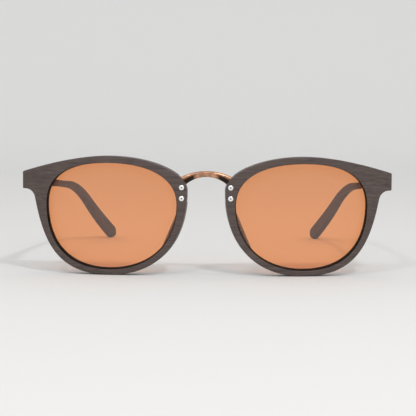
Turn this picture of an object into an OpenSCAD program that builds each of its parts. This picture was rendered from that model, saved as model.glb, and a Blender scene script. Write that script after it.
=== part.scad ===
// Round wooden sunglasses standing open on a table, on the rims and the two temple tips.
// X runs to the wearer's left, Y runs back along the temples and Z is up, in millimetres.

/* [Front] */
// Overall width across the two end pieces
front_width = 143.5; // [141.5:0.5:149]
// Distance between the two lens centres
lens_spacing = 72.5; // [71.5:0.5:75]
// Turn of each rim back toward its temple, in degrees
rim_wrap = 6; // [4:0.5:8]
// Radius of the bowed front face
bow_radius = 200; // [170:5:280]
// Thickness of the wooden rims from front to back
rim_depth = 5.2; // [5:0.1:5.8]

/* [Lens opening] */
// Lens centre to the opening's edge beside the nose
opening_nasal = 25; // [24.5:0.1:25.6]
// Lens centre to the opening's edge beside the temple
opening_temporal = 26.1; // [25.2:0.1:26.4]
// Lens centre to the top of the opening
opening_top = 19.9; // [19:0.1:21.5]
// Lens centre to the bottom of the opening
opening_bottom = 21.1; // [19.5:0.1:22.5]
// Height of the widest points above the lens centre
opening_rise = 3.7; // [1:0.1:5]
// Shift of the top and bottom points toward the temple
opening_lean = 1.4; // [0:0.1:3]
// Roundness of the opening from nose to top
opening_full_nose_top = 0.63; // [0.5:0.01:0.66]
// Roundness of the opening from top to temple
opening_full_temple_top = 0.67; // [0.56:0.01:0.7]
// Roundness of the opening from temple to bottom
opening_full_temple_low = 0.64; // [0.5:0.01:0.68]
// Roundness of the opening from bottom to nose
opening_full_nose_low = 0.6; // [0.5:0.01:0.66]

/* [Rims] */
// Wood above the opening
rim_top = 2.7; // [2.2:0.1:4]
// Wood below the opening
rim_bottom = 2.2; // [2:0.1:4]
// Wood beside the nose
rim_nasal = 3.7; // [3.4:0.1:4.4]
// Wood beside the temple, under the end piece
rim_temporal = 4.4; // [3.4:0.1:4.7]
// Height of the rim's nose corner above the lens centre
rim_nose_rise = 9.4; // [7:0.1:10]
// Roundness of the rim from nose to top
rim_full_nose_top = 0.54; // [0.5:0.01:0.64]
// Roundness of the rim from temple to bottom
rim_full_temple_low = 0.64; // [0.56:0.01:0.68]
// Roundness of the rim from bottom to nose
rim_full_nose_low = 0.63; // [0.56:0.01:0.68]
// Lean of the rim's temple side under the end piece, in degrees
rim_side_lean = 12; // [6:1:16]

/* [End pieces] */
// Height of the hinge line above the lens centre
hinge_rise = 12.9; // [12.4:0.1:13.6]
// Height of the end piece at its outer end
end_height = 6.7; // [6.2:0.1:7.2]
// Wood from the front face to the butt face at the outer end
end_depth = 5.4; // [5:0.1:6.5]
// Radius of the hollow under the end piece
end_fillet = 4; // [3:0.1:4.4]
// Fall of the top edge at the outer end, in degrees
end_slope = 17; // [10:1:20]

/* [Lenses] */
// Lens thickness
lens_thickness = 1.6; // [1.2:0.1:1.8]
// Rim's front face to the lens
lens_recess = 2.9; // [2.4:0.1:3]
// How far the lens edge reaches into the wood
lens_bite = 0.4; // [0.3:0.05:0.5]
// Free space round the lens edge in its groove
lens_clearance = 0.1; // [0.05:0.05:0.15]

/* [Bridge] */
// Height of the arch's top above the lens centre
bridge_rise = 16.9; // [15.5:0.1:17.5]
// Height of the bar in the middle
bridge_height = 2.3; // [1.8:0.1:3]
// Bar thickness from front to back
bridge_thickness = 1.8; // [1.4:0.1:2.2]
// Fall of the arch's top edge from the middle to the rims
bridge_fall = 1.3; // [0.8:0.1:2]
// Fall of the arch's lower edge from the middle to the rims
bridge_hollow = 2.6; // [2:0.1:3.2]
// Width of the foot plates behind the rims
foot_width = 2; // [1.8:0.05:2.1]
// Reach of the foot plates beyond the outermost rivets
foot_margin = 1.7; // [1.4:0.1:2.2]

/* [Rivets] */
// Spacing of the two rivets on one foot plate
rivet_pitch = 4.2; // [3.4:0.1:4.8]
// Height of the rivet pair above the lens centre
rivet_rise = 8.6; // [7.8:0.05:9.2]
// Opening's edge to the rivets
rivet_offset = 1.8; // [1.6:0.05:2]
// Radius of the rivet heads
rivet_head_radius = 0.98; // [0.8:0.02:1.2]
// Radius of the rivet shanks
rivet_shank_radius = 0.45; // [0.35:0.05:0.5]
// How far the heads stand out of the wood
rivet_proud = 0.25; // [0.1:0.05:0.4]
// How deep the heads are let into the wood
rivet_sink = 0.3; // [0.2:0.05:0.6]
// Radius of the dimple in each head
rivet_dimple = 0.3; // [0.2:0.05:0.4]
// Height of the spread rivet tails
rivet_tail = 0.35; // [0.2:0.05:0.5]

/* [Nose pads] */
// Place of the pad's top along the rim's lower nose curve
pad_top_place = 0.92; // [0.9:0.01:1]
// Place of the pad's bottom along the same curve
pad_bottom_place = 0.52; // [0.45:0.01:0.65]
// Reach of the pad behind the rim
pad_reach = 4.8; // [3:0.1:6]
// Turn of the pad's back edge toward the lens
pad_flare = 1; // [0.6:0.1:2]
// Radius of the pad's edges
pad_radius = 1.25; // [1:0.05:1.5]

/* [Temples] */
// Length of the straight arm from the butt face to the ear bend
arm_length = 73; // [66:1:80]
// Slope of the arm, in degrees
arm_drop = 5.1; // [4:0.1:7]
// Slope of the tip behind the ear bend, in degrees
tip_drop = 33.5; // [30:0.5:40]
// Radius of the ear bend
bend_radius = 57; // [40:1:70]
// Height of the arm at its slimmest
arm_height = 2.8; // [2.6:0.1:3.6]
// Length over which the arm slims down from the butt
slim_length = 58; // [50:1:64]
// Height of the tip
tip_height = 6; // [4.8:0.1:7]
// Arm thickness at the butt
butt_thickness = 4.2; // [4:0.1:5]
// Arm thickness behind the hinge
arm_thickness = 2.7; // [2.6:0.1:3.4]
// Length over which the thickness falls
taper_length = 35; // [32:1:50]
// Inward slope of the arm, in degrees
arm_inset = 3; // [2:0.1:3.4]
// Distance from the butt to where the arm begins to curl in
curl_start = 51; // [46:1:60]
// Radius of the inward curl
curl_radius = 235; // [200:5:280]

/* [Hinges] */
// Hinge pin radius
pin_radius = 0.55; // [0.5:0.01:0.6]
// Butt face to the pin's axis
pin_setback = 1.8; // [1.7:0.05:2.1]
// Temple's outer face to the pin's axis
pin_inset = 4.6; // [4.5:0.05:4.8]
// Radius of the hinge knuckles
knuckle_radius = 1.3; // [1.2:0.05:1.4]
// Height of the tongue's middle knuckle
tongue_height = 1.6; // [1.4:0.1:1.8]
// Height of the leaf on the end piece
leaf_height = 5; // [4.8:0.1:5.2]
// Leaf thickness, let flush into the wood
leaf_thickness = 0.8; // [0.6:0.05:1]
// Pin axis to the leaf's inner edge
leaf_reach = 3.7; // [3.5:0.05:3.8]
// Radius of the pin's slotted head
pin_head_radius = 0.95; // [0.8:0.05:1.1]
// Height of the pin's head
pin_head_height = 0.5; // [0.4:0.05:0.6]
// Width of the screwdriver slots
slot_width = 0.3; // [0.2:0.05:0.35]
// Depth of the screwdriver slots
slot_depth = 0.2; // [0.1:0.05:0.25]

/* [Spring cases] */
// Pin axis to the front of the case
case_setback = 2.3; // [2.2:0.05:2.6]
// Length of the case
case_length = 11.6; // [11:0.1:13]
// Width of the case across the temple
case_width = 3; // [2.9:0.05:3.2]
// Height of the case
case_height = 3.2; // [3:0.1:3.4]
// Radius of the bore that holds the spring
case_bore = 1.05; // [1:0.01:1.15]
// Thickness of the case's end walls
case_wall = 1; // [0.8:0.05:1.2]
// Length of the fixing foot behind the case
foot_length = 7.6; // [7:0.1:9]
// Thickness of the fixing foot
foot_thickness = 0.8; // [0.6:0.05:1]
// How deep the foot is let into the temple at its far end
foot_sink = 0.4; // [0.2:0.05:0.6]
// Spacing of the two foot screws
foot_pitch = 3.6; // [3:0.1:4.4]
// Radius of the tongue's round rod
rod_radius = 0.5; // [0.4:0.02:0.54]
// Outer radius of the spring
spring_radius = 0.95; // [0.9:0.01:0.96]
// Radius of the spring wire
wire_radius = 0.14; // [0.1:0.01:0.16]
// Turns of the spring
spring_turns = 8; // [6:1:9]
// Length of the spring at rest
spring_length = 7.4; // [7:0.1:7.6]
// Length of the stop on the rod's end
stop_length = 0.8; // [0.6:0.05:1]

/* [Screws] */
// Radius of the screw shanks
screw_radius = 0.42; // [0.35:0.01:0.45]
// Radius of the screw heads
screw_head_radius = 0.78; // [0.7:0.01:0.8]
// Spacing of the two leaf screws
leaf_pitch = 2.9; // [2.7:0.05:3.1]
// Length of the leaf screws
leaf_screw_length = 3.6; // [3:0.1:4]
// Length of the case screws under the foot
case_screw_length = 1.6; // [1.2:0.05:1.7]
// Height of the case screws' heads
case_screw_head = 0.35; // [0.25:0.05:0.4]

/* [Clearances] */
// Running clearance round the hinge pin and the tongue's rod
pin_clearance = 0.04; // [0.02:0.01:0.06]
// Free height between the hinge knuckles
knuckle_gap = 0.1; // [0.05:0.01:0.15]
// Fitting clearance of seated pieces
fit_clearance = 0.05; // [0.02:0.01:0.1]
// Gap between the open temple and the end piece
butt_gap = 0.2; // [0.1:0.05:0.3]
// Free space in the temple round the knuckles
knuckle_room = 1; // [0.95:0.05:1.2]

/* [Hidden] */

$fn = 48;
// Facets of the large bow cylinder
bow_facets = 360;
// Chords in each quarter of an outline
quarter_steps = 12;
// A length that reaches past the whole front from its face
reach = 60;
// How far a bore runs on past the piece it goes through
cut_over = 1;

wood = [0.35, 0.31, 0.28];
amber = [0.85, 0.57, 0.42, 0.7];
copper = [0.72, 0.5, 0.38];
steel = [0.78, 0.78, 0.76];

// Places of the front
lens_x = lens_spacing / 2;
lens_z = opening_bottom + rim_bottom;
end_x = front_width / 2;
hinge_z = lens_z + hinge_rise;
bow_x = lens_x - bow_radius * sin(rim_wrap);
bow_y = bow_radius * cos(rim_wrap);

// Back distance of the bowed face at a place x, at a depth behind the face
function face_y(x, depth = 0) = bow_y - sqrt(pow(bow_radius - depth, 2) - pow(x - bow_x, 2));

// Place across the front of a point at u from the lens centre, on the bowed face
function sag(u, depth = 0) = bow_radius - sqrt(pow(bow_radius - depth, 2) - u * u);
function front_x(u) = lens_x + u * cos(rim_wrap) - sag(u) * sin(rim_wrap);

butt_y = face_y(end_x) + end_depth;
end_u = (end_x - lens_x) * cos(rim_wrap) + face_y(end_x) * sin(rim_wrap);
butt_x = lens_x + (end_u - butt_y * sin(rim_wrap)) / cos(rim_wrap);
end_top = hinge_rise + end_height / 2;
end_low = hinge_rise - end_height / 2;

// Places of the hinge
pin_x = butt_x - pin_inset;
pin_y = butt_y + pin_setback;
knuckle_height = (leaf_height - tongue_height) / 2 - knuckle_gap;
leaf_screw_x = -(knuckle_radius + leaf_reach) / 2 - fit_clearance;
// Half height of the tongue's flat neck, which slopes between the outer knuckles
neck_half = tongue_height / 2 - knuckle_radius * tan(arm_drop) - knuckle_gap;
block_x = pin_x - leaf_reach - 2 * fit_clearance;

// Places of the bridge
rivet_x = front_x(-(opening_nasal + rivet_offset));
bridge_back = face_y(rivet_x, rim_depth);
bridge_front = bridge_back - bridge_thickness;
rivet_front = face_y(rivet_x) - rivet_proud;
rivet_seat = face_y(rivet_x) + rivet_sink;
bridge_top = lens_z + bridge_rise;
bridge_low = bridge_top - bridge_height;
bridge_half = rivet_x + foot_width / 2;
// Half span over which the falls of the two arch edges are measured
arch_half = front_x(-(opening_nasal + rim_nasal));
function arch_radius(fall) = (arch_half * arch_half + fall * fall) / (2 * fall);
foot_top = lens_z + rivet_rise + rivet_pitch / 2;
foot_low = lens_z + rivet_rise - rivet_pitch / 2 - foot_margin;

// Points of a cubic curve
function bezier(p, t) =
  pow(1 - t, 3) * p[0] + 3 * t * pow(1 - t, 2) * p[1] + 3 * t * t * (1 - t) * p[2] + pow(t, 3) * p[3];
function curve(p) = [for (i = [0:quarter_steps - 1]) bezier(p, i / quarter_steps)];
function reversed(p) = [for (i = [len(p) - 1:-1:0]) p[i]];

// Quarter of an oval from its level apex to its side, which may lean
function quarter(apex, side, full, lean = 0) = [
  apex,
  [apex[0] + (side[0] - apex[0]) * full, apex[1]],
  side + (apex[1] - side[1]) * full * [tan(lean), 1],
  side
];

// Nose, top, temple and bottom points of the lens opening, grown by a margin
function opening_points(grow) = [
  [-opening_nasal - grow, opening_rise],
  [opening_lean, opening_top + grow],
  [opening_temporal + grow, opening_rise],
  [opening_lean, -opening_bottom - grow]
];

// The same four points of the rim's outer edge
rim_points = [
  [-opening_nasal - rim_nasal, rim_nose_rise],
  [opening_lean, opening_top + rim_top],
  [opening_temporal + rim_temporal, opening_rise],
  [opening_lean, -opening_bottom - rim_bottom]
];
function lower_nose_quarter(p, full) = quarter(p[3], p[0], full);

// Middle of the wood along the rim's lower nose curve
function nose_wood(place) = (
  bezier(lower_nose_quarter(opening_points(0), opening_full_nose_low), place)
  + bezier(lower_nose_quarter(rim_points, rim_full_nose_low), place)
) / 2;

// Side view of the temple's middle line, walked from the butt face
bend_length = bend_radius * (tip_drop - arm_drop) * PI / 180;
arm_end = arm_length * [cos(arm_drop), -sin(arm_drop)];
function bend_point(a) = arm_end + bend_radius * [sin(a) - sin(arm_drop), cos(a) - cos(arm_drop)];
tip_length = (hinge_z + bend_point(tip_drop)[1] - tip_height / 2) / sin(tip_drop);
temple_length = arm_length + bend_length + tip_length;
function drop_at(s) =
  s < arm_length ? arm_drop : min(tip_drop, arm_drop + (s - arm_length) / bend_radius * 180 / PI);
function middle_at(s) =
  s < arm_length ? s * [cos(arm_drop), -sin(arm_drop)]
  : s < arm_length + bend_length ? bend_point(drop_at(s))
  : bend_point(tip_drop) + (s - arm_length - bend_length) * [cos(tip_drop), -sin(tip_drop)];
function ease(a, b, t) = a + (b - a) * (3 * pow(max(0, min(1, t)), 2) - 2 * pow(max(0, min(1, t)), 3));
function height_at(s) =
  s < slim_length ? ease(end_height, arm_height, s / slim_length)
  : ease(arm_height, tip_height, (s - slim_length) / (temple_length - slim_length));
function edge_at(s, side) = middle_at(s) + side * height_at(s) / 2 * [sin(drop_at(s)), cos(drop_at(s))];
tip_center = middle_at(temple_length);
side_steps = 32;
tip_steps = 10;

// Plan view of the temple's outer and inner faces, at a distance behind the butt face
function curl(d) = curl_radius - sqrt(pow(curl_radius, 2) - pow(max(0, d - curl_start), 2));
function outer_at(d) = butt_x - d * tan(arm_inset) - curl(d);
function inner_at(d) = outer_at(d) - ease(butt_thickness, arm_thickness, d / taper_length);
temple_depth = tip_center[0] + tip_height / 2;
plan_steps = 20;

// Seat of the case's foot in the temple's inner face, measured from the pin
foot_far = case_setback + case_length + foot_length;
seat_x = inner_at(pin_setback + foot_far) + foot_sink - pin_x;

// The whole part is centred over the origin, from the rivet heads to the temple tips
middle_y = (rivet_front + butt_y + temple_depth) / 2;

module place(side) {
  translate([0, -middle_y, 0]) mirror([side < 0 ? 1 : 0, 0, 0]) children();
}

module at_lens() {
  translate([lens_x, 0, lens_z]) rotate([0, 0, rim_wrap]) children();
}

module at_pin() {
  translate([pin_x, pin_y, hinge_z]) children();
}

// Along the sloping arm from the pin
module at_arm() {
  at_pin() rotate([-arm_drop, 0, 0]) children();
}

// Prism of an outline in X and Z between two back distances
module upright(from, to) {
  translate([0, to, 0]) rotate([90, 0, 0]) linear_extrude(to - from) children();
}

// Solid behind the bowed face, from a depth on
module behind(depth) {
  translate([0, bow_radius, 0]) {
    cylinder(r = bow_radius - depth, h = 2 * reach, center = true, $fn = bow_facets);
  }
}

module layer(near, far) {
  difference() {
    behind(near);
    behind(far);
  }
}

module opening_outline(grow) {
  p = opening_points(grow);
  polygon(concat(
    curve(reversed(quarter(p[1], p[0], opening_full_nose_top))),
    curve(quarter(p[1], p[2], opening_full_temple_top)),
    curve(reversed(quarter(p[3], p[2], opening_full_temple_low))),
    curve(lower_nose_quarter(p, opening_full_nose_low))
  ));
}

// Rim's outer edge, with the end piece drawn out of its upper temple quarter
module rim_outline() {
  p = rim_points;
  slope = [-cos(end_slope), sin(end_slope)];
  pull = (end_u - p[1][0]) / 3;
  top_edge = [p[1], p[1] + [pull, 0], [end_u, end_top] + pull * slope, [end_u, end_top]];
  low = end_low - end_fillet;
  hollow = [p[2][0] + (low - p[2][1]) * tan(rim_side_lean) + end_fillet / cos(rim_side_lean), low];
  polygon(concat(
    curve(reversed(quarter(p[1], p[0], rim_full_nose_top))),
    curve(top_edge),
    [[end_u, end_top], [end_u, end_low]],
    [
      for (i = [0:quarter_steps]) let (a = 90 + (90 - rim_side_lean) * i / quarter_steps)
        hollow + end_fillet * [cos(a), sin(a)]
    ],
    curve(reversed(quarter(p[3], p[2], rim_full_temple_low, rim_side_lean))),
    curve(lower_nose_quarter(p, rim_full_nose_low))
  ));
}

// Space behind the rim, which a ramp bounds where the thick end piece carries the hinge leaf
module back_space() {
  ramp = rim_depth;
  difference() {
    at_lens() behind(rim_depth);
    translate([0, 0, lens_z]) linear_extrude(3 * reach, center = true) polygon([
      [block_x - ramp, butt_y - ramp],
      [block_x + ramp, butt_y + ramp],
      [2 * end_x, butt_y + ramp],
      [2 * end_x, -reach],
      [block_x - ramp, -reach]
    ]);
  }
}

// Flat milled across the back of the rim for the bridge's foot plate
module bridge_seat() {
  low = foot_low - fit_clearance;
  translate([0, bridge_front, low]) cube([bridge_half + fit_clearance, 2 * rim_depth, bridge_top - low]);
}

module rim() {
  difference() {
    intersection() {
      at_lens() upright(-reach, reach) rim_outline();
      at_lens() behind(0);
      translate([0, butt_y - 2 * reach, -reach]) cube([2 * end_x, 2 * reach, 3 * reach]);
    }
    back_space();
    at_lens() upright(-reach, reach) opening_outline(0);
    at_lens() intersection() {
      upright(-reach, reach) opening_outline(lens_bite + lens_clearance);
      layer(lens_recess - lens_clearance, lens_recess + lens_thickness + lens_clearance);
    }
    bridge_seat();
    rivet_set(fit_clearance, cut_over);
    at_pin() leaf_plate(fit_clearance, leaf_thickness);
    leaf_screw_set(fit_clearance);
  }
}

module lens() {
  at_lens() intersection() {
    upright(-reach, reach) opening_outline(lens_bite);
    layer(lens_recess, lens_recess + lens_thickness);
  }
}

// Pad glued to the back of the rim, leaning out along the side of the nose
module nose_pad() {
  at_lens() intersection() {
    hull() for (p = [nose_wood(pad_top_place), nose_wood(pad_bottom_place)]) {
      back = sag(p[0], rim_depth);
      translate([p[0], back, p[1]]) sphere(pad_radius, $fn = 32);
      translate([p[0] + pad_flare, back + pad_reach, p[1]]) sphere(pad_radius, $fn = 32);
    }
    behind(rim_depth);
  }
}

// Arch between the rims with a foot plate behind each
module bridge_outline() {
  intersection() {
    difference() {
      translate([0, bridge_top - arch_radius(bridge_fall)]) circle(arch_radius(bridge_fall), $fn = 180);
      translate([0, bridge_low - arch_radius(bridge_hollow)]) circle(arch_radius(bridge_hollow), $fn = 180);
    }
    translate([-bridge_half, foot_top]) square([2 * bridge_half, bridge_top]);
  }
  for (side = [-1, 1]) translate([side * rivet_x, 0]) {
    translate([-foot_width / 2, foot_low + foot_width / 2]) {
      square([foot_width, bridge_low - bridge_hollow - foot_low - foot_width / 2]);
    }
    translate([0, foot_low + foot_width / 2]) circle(foot_width / 2);
  }
}

// Two rivets of the left foot plate, or with a clearance their holes
module rivet_set(grow, extra) {
  for (k = [-1, 1]) translate([rivet_x, 0, lens_z + rivet_rise + k * rivet_pitch / 2]) rotate([-90, 0, 0]) {
    translate([0, 0, rivet_front - extra]) {
      cylinder(r = rivet_head_radius + grow, h = rivet_seat - rivet_front + extra);
    }
    translate([0, 0, rivet_seat]) {
      cylinder(r = rivet_shank_radius + grow, h = bridge_back - rivet_seat + extra);
    }
  }
}

module bridge() {
  difference() {
    upright(bridge_front, bridge_back) bridge_outline();
    rivet_set(fit_clearance, cut_over);
    mirror([1, 0, 0]) rivet_set(fit_clearance, cut_over);
  }
}

module rivets() {
  difference() {
    union() {
      rivet_set(0, 0);
      for (k = [-1, 1]) translate([rivet_x, bridge_back, lens_z + rivet_rise + k * rivet_pitch / 2]) {
        rotate([-90, 0, 0]) cylinder(r1 = rivet_head_radius, r2 = rivet_shank_radius, h = rivet_tail);
      }
    }
    for (k = [-1, 1]) translate([rivet_x, rivet_front, lens_z + rivet_rise + k * rivet_pitch / 2]) {
      sphere(rivet_dimple);
    }
  }
}

// Leaf against the end piece, or with a clearance its seat in the wood
module leaf_plate(grow, front) {
  translate([-leaf_reach - grow, -pin_setback - leaf_thickness, -leaf_height / 2 - grow]) {
    cube([leaf_reach + knuckle_radius + 2 * grow, leaf_thickness + front, leaf_height + 2 * grow]);
  }
}

module leaf_screw_set(grow) {
  for (k = [-1, 1]) at_pin() translate([leaf_screw_x, -pin_setback, k * leaf_pitch / 2]) rotate([90, 0, 0]) {
    cylinder(r1 = screw_head_radius + grow, r2 = screw_radius + grow, h = leaf_thickness / 2);
    cylinder(r = screw_radius + grow, h = leaf_screw_length);
  }
}

module hinge_leaf() {
  difference() {
    at_pin() union() {
      leaf_plate(0, 0);
      for (turn = [0, 1]) mirror([0, 0, turn]) translate([0, 0, leaf_height / 2 - knuckle_height]) {
        cylinder(r = knuckle_radius, h = knuckle_height);
        translate([-knuckle_radius, -pin_setback, 0]) cube([2 * knuckle_radius, pin_setback, knuckle_height]);
      }
    }
    at_pin() cylinder(r = pin_radius + pin_clearance, h = 2 * leaf_height, center = true);
    leaf_screw_set(fit_clearance);
  }
}

module leaf_screws() {
  difference() {
    leaf_screw_set(0);
    at_pin() translate([leaf_screw_x - slot_width / 2, -pin_setback - slot_depth, -leaf_height]) {
      cube([slot_width, slot_depth, 2 * leaf_height]);
    }
  }
}

module hinge_pin() {
  at_pin() difference() {
    union() {
      translate([0, 0, -leaf_height / 2]) cylinder(r = pin_radius, h = leaf_height);
      translate([0, 0, leaf_height / 2]) cylinder(r = pin_head_radius, h = pin_head_height);
    }
    translate([-pin_head_radius, -slot_width / 2, leaf_height / 2 + pin_head_height - slot_depth]) {
      cube([2 * pin_head_radius, slot_width, slot_depth]);
    }
  }
}

// Middle knuckle with its flat neck and the round rod inside the spring case
spring_start = case_setback + case_wall;
stop_start = spring_start + spring_length;
rod_end = stop_start + stop_length;

module hinge_tongue() {
  difference() {
    union() {
      at_pin() cylinder(r = knuckle_radius, h = tongue_height, center = true);
      at_arm() translate([-neck_half, 0, -neck_half]) {
        cube([2 * neck_half, case_setback - fit_clearance, 2 * neck_half]);
      }
      at_arm() rotate([-90, 0, 0]) cylinder(r = rod_radius, h = rod_end);
    }
    at_pin() cylinder(r = pin_radius + pin_clearance, h = leaf_height, center = true);
  }
}

module spring_stop() {
  at_arm() translate([0, stop_start, 0]) rotate([-90, 0, 0]) difference() {
    cylinder(r = spring_radius, h = stop_length);
    translate([0, 0, -stop_length]) cylinder(r = rod_radius, h = 3 * stop_length);
  }
}

// Coil of round wire, swept as rings along a helix
ring_sides = 6;
turn_rings = 12;
spring_rings = spring_turns * turn_rings;
coil_radius = spring_radius - wire_radius;
coil_length = spring_length - 2 * wire_radius - 2 * fit_clearance;
function ring_point(i, j) =
  let (a = 360 * i / turn_rings, b = 360 * j / ring_sides, r = coil_radius + wire_radius * cos(b))
  [r * cos(a), r * sin(a), coil_length * i / spring_rings + wire_radius * sin(b)];

module hinge_spring() {
  points = [for (i = [0:spring_rings]) for (j = [0:ring_sides - 1]) ring_point(i, j)];
  last = spring_rings * ring_sides;
  sides = [
    for (i = [0:spring_rings - 1]) for (j = [0:ring_sides - 1])
      let (a = i * ring_sides + j, b = i * ring_sides + (j + 1) % ring_sides)
      for (face = [[a, a + ring_sides, b], [b, a + ring_sides, b + ring_sides]]) face
  ];
  ends = concat(
    [for (j = [1:ring_sides - 2]) [0, j, j + 1]],
    [for (j = [1:ring_sides - 2]) [last, last + j + 1, last + j]]
  );
  at_arm() translate([0, spring_start + wire_radius + fit_clearance, 0]) rotate([-90, 0, 0]) {
    polyhedron(points, concat(sides, ends));
  }
}

// Outside of the spring case with its foot, or with a clearance its seat in the temple
module case_body(grow, inward) {
  case_far = case_setback + case_length;
  translate([-case_width / 2 - inward, case_setback - grow, -case_height / 2 - grow]) {
    cube([case_width + inward + grow, case_length + 2 * grow, case_height + 2 * grow]);
  }
  translate([seat_x - foot_thickness - inward, case_far, -case_height / 2 - grow]) {
    cube([foot_thickness + inward, foot_length + grow, case_height + 2 * grow]);
  }
}

module case_screw_set(grow, head) {
  foot_middle = case_setback + case_length + foot_length / 2;
  for (k = [-1, 1]) at_arm() translate([seat_x - foot_thickness, foot_middle + k * foot_pitch / 2, 0]) {
    rotate([0, 90, 0]) cylinder(r = screw_radius + grow, h = foot_thickness + case_screw_length);
    if (head > 0) rotate([0, -90, 0]) cylinder(r = screw_head_radius, h = head);
  }
}

module hinge_case() {
  bore_end = case_setback + case_length - case_wall;
  difference() {
    at_arm() case_body(0, 0);
    at_arm() rotate([-90, 0, 0]) cylinder(r = rod_radius + pin_clearance, h = bore_end);
    at_arm() translate([0, spring_start, 0]) rotate([-90, 0, 0]) {
      cylinder(r = case_bore, h = bore_end - spring_start);
    }
    case_screw_set(fit_clearance, 0);
  }
}

module case_screws() {
  slot_x = seat_x - foot_thickness - case_screw_head;
  difference() {
    case_screw_set(0, case_screw_head);
    at_arm() translate([slot_x, 0, -slot_width / 2]) cube([slot_depth, 4 * case_length, slot_width]);
  }
}

module temple_side() {
  polygon(concat(
    [for (i = [0:side_steps]) edge_at(temple_length * i / side_steps, 1)],
    [
      for (i = [1:tip_steps - 1]) let (a = 90 - tip_drop - 180 * i / tip_steps)
        tip_center + tip_height / 2 * [cos(a), sin(a)]
    ],
    [for (i = [side_steps:-1:0]) edge_at(temple_length * i / side_steps, -1)]
  ));
}

module temple_plan() {
  far = temple_depth + tip_height;
  polygon(concat(
    [for (i = [0:plan_steps]) [outer_at(far * i / plan_steps), far * i / plan_steps]],
    [for (i = [plan_steps:-1:0]) [inner_at(far * i / plan_steps), far * i / plan_steps]]
  ));
}

module temple() {
  notch_x = pin_x + knuckle_radius + knuckle_room;
  notch_y = pin_y + case_setback;
  difference() {
    intersection() {
      translate([0, butt_y, hinge_z]) rotate([90, 0, 90]) linear_extrude(end_x) temple_side();
      translate([0, butt_y, 0]) linear_extrude(2 * hinge_z) temple_plan();
    }
    cube([end_x, butt_y + butt_gap, 2 * hinge_z]);
    translate([notch_x - reach, notch_y - reach, 0]) cube([reach, reach, 2 * hinge_z]);
    at_arm() case_body(fit_clearance, case_width);
    case_screw_set(fit_clearance, 0);
  }
}

module left_rim() { color(wood) place(1) rim(); }
module right_rim() { color(wood) place(-1) rim(); }
module left_lens() { color(amber) place(1) lens(); }
module right_lens() { color(amber) place(-1) lens(); }
module left_nose_pad() { color(wood) place(1) nose_pad(); }
module right_nose_pad() { color(wood) place(-1) nose_pad(); }
module bridge_bar() { color(copper) place(1) bridge(); }
module bridge_rivets() { color(steel) for (side = [1, -1]) place(side) rivets(); }
module left_temple() { color(wood) place(1) temple(); }
module right_temple() { color(wood) place(-1) temple(); }
module left_hinge_leaf() { color(steel) place(1) hinge_leaf(); }
module right_hinge_leaf() { color(steel) place(-1) hinge_leaf(); }
module left_leaf_screws() { color(steel) place(1) leaf_screws(); }
module right_leaf_screws() { color(steel) place(-1) leaf_screws(); }
module left_hinge_pin() { color(steel) place(1) hinge_pin(); }
module right_hinge_pin() { color(steel) place(-1) hinge_pin(); }
module left_hinge_tongue() { color(steel) place(1) hinge_tongue(); }
module right_hinge_tongue() { color(steel) place(-1) hinge_tongue(); }
module left_hinge_spring() { color(steel) place(1) hinge_spring(); }
module right_hinge_spring() { color(steel) place(-1) hinge_spring(); }
module left_spring_stop() { color(steel) place(1) spring_stop(); }
module right_spring_stop() { color(steel) place(-1) spring_stop(); }
module left_hinge_case() { color(steel) place(1) hinge_case(); }
module right_hinge_case() { color(steel) place(-1) hinge_case(); }
module left_case_screws() { color(steel) place(1) case_screws(); }
module right_case_screws() { color(steel) place(-1) case_screws(); }

left_rim();
right_rim();
left_lens();
right_lens();
left_nose_pad();
right_nose_pad();
bridge_bar();  // bridge
bridge_rivets();
left_temple();
right_temple();
left_hinge_leaf();
right_hinge_leaf();
left_leaf_screws();
right_leaf_screws();
left_hinge_pin();
right_hinge_pin();
left_hinge_tongue();
right_hinge_tongue();
left_hinge_spring();
right_hinge_spring();
left_spring_stop();
right_spring_stop();
left_hinge_case();
right_hinge_case();
left_case_screws();
right_case_screws();
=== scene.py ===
"""Finished looks of a pair of wooden sunglasses, built round its CAD frame.

Lengths are in metres in the part's own frame: X to the wearer's left, Y back along the temples, Z up.
"""

import math

import bmesh
import bpy
import numpy as np
from bpy.props import FloatProperty, FloatVectorProperty, IntProperty, PointerProperty
from bpy.types import Operator, Panel, PropertyGroup
from mathutils import Matrix, Quaternion, Vector


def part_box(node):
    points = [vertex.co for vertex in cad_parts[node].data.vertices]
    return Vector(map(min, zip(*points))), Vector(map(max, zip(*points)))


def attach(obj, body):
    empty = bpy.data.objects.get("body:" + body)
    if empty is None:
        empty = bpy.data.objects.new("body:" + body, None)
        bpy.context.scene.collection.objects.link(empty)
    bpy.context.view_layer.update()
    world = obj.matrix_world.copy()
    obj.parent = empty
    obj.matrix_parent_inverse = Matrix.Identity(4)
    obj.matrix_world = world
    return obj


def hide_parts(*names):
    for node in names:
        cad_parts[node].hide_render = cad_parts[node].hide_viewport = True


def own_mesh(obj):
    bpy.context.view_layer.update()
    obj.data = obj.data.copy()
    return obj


bl_info = {
    "name": "Wooden Sunglasses",
    "version": (1, 0, 0),
    "blender": (4, 5, 0),
    "location": "View3D > Sidebar > Sunglasses",
    "description": "Dresses the CAD frame of a pair of wooden sunglasses with finished pieces",
    "category": "Object",
}

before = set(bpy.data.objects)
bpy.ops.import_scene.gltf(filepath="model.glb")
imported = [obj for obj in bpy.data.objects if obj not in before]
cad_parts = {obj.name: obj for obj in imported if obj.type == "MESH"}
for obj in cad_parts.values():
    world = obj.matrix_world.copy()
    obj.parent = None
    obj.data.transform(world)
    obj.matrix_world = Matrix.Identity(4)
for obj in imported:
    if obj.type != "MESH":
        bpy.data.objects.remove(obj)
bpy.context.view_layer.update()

# The wearer's sides, with their signs along X
SIDES = {"left": 1, "right": -1}
# Points closer than this are joined after a cut
WELD_GAP = 0.000001
# Points in each corner of a rounded section
SECTION_STEPS = 6
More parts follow.
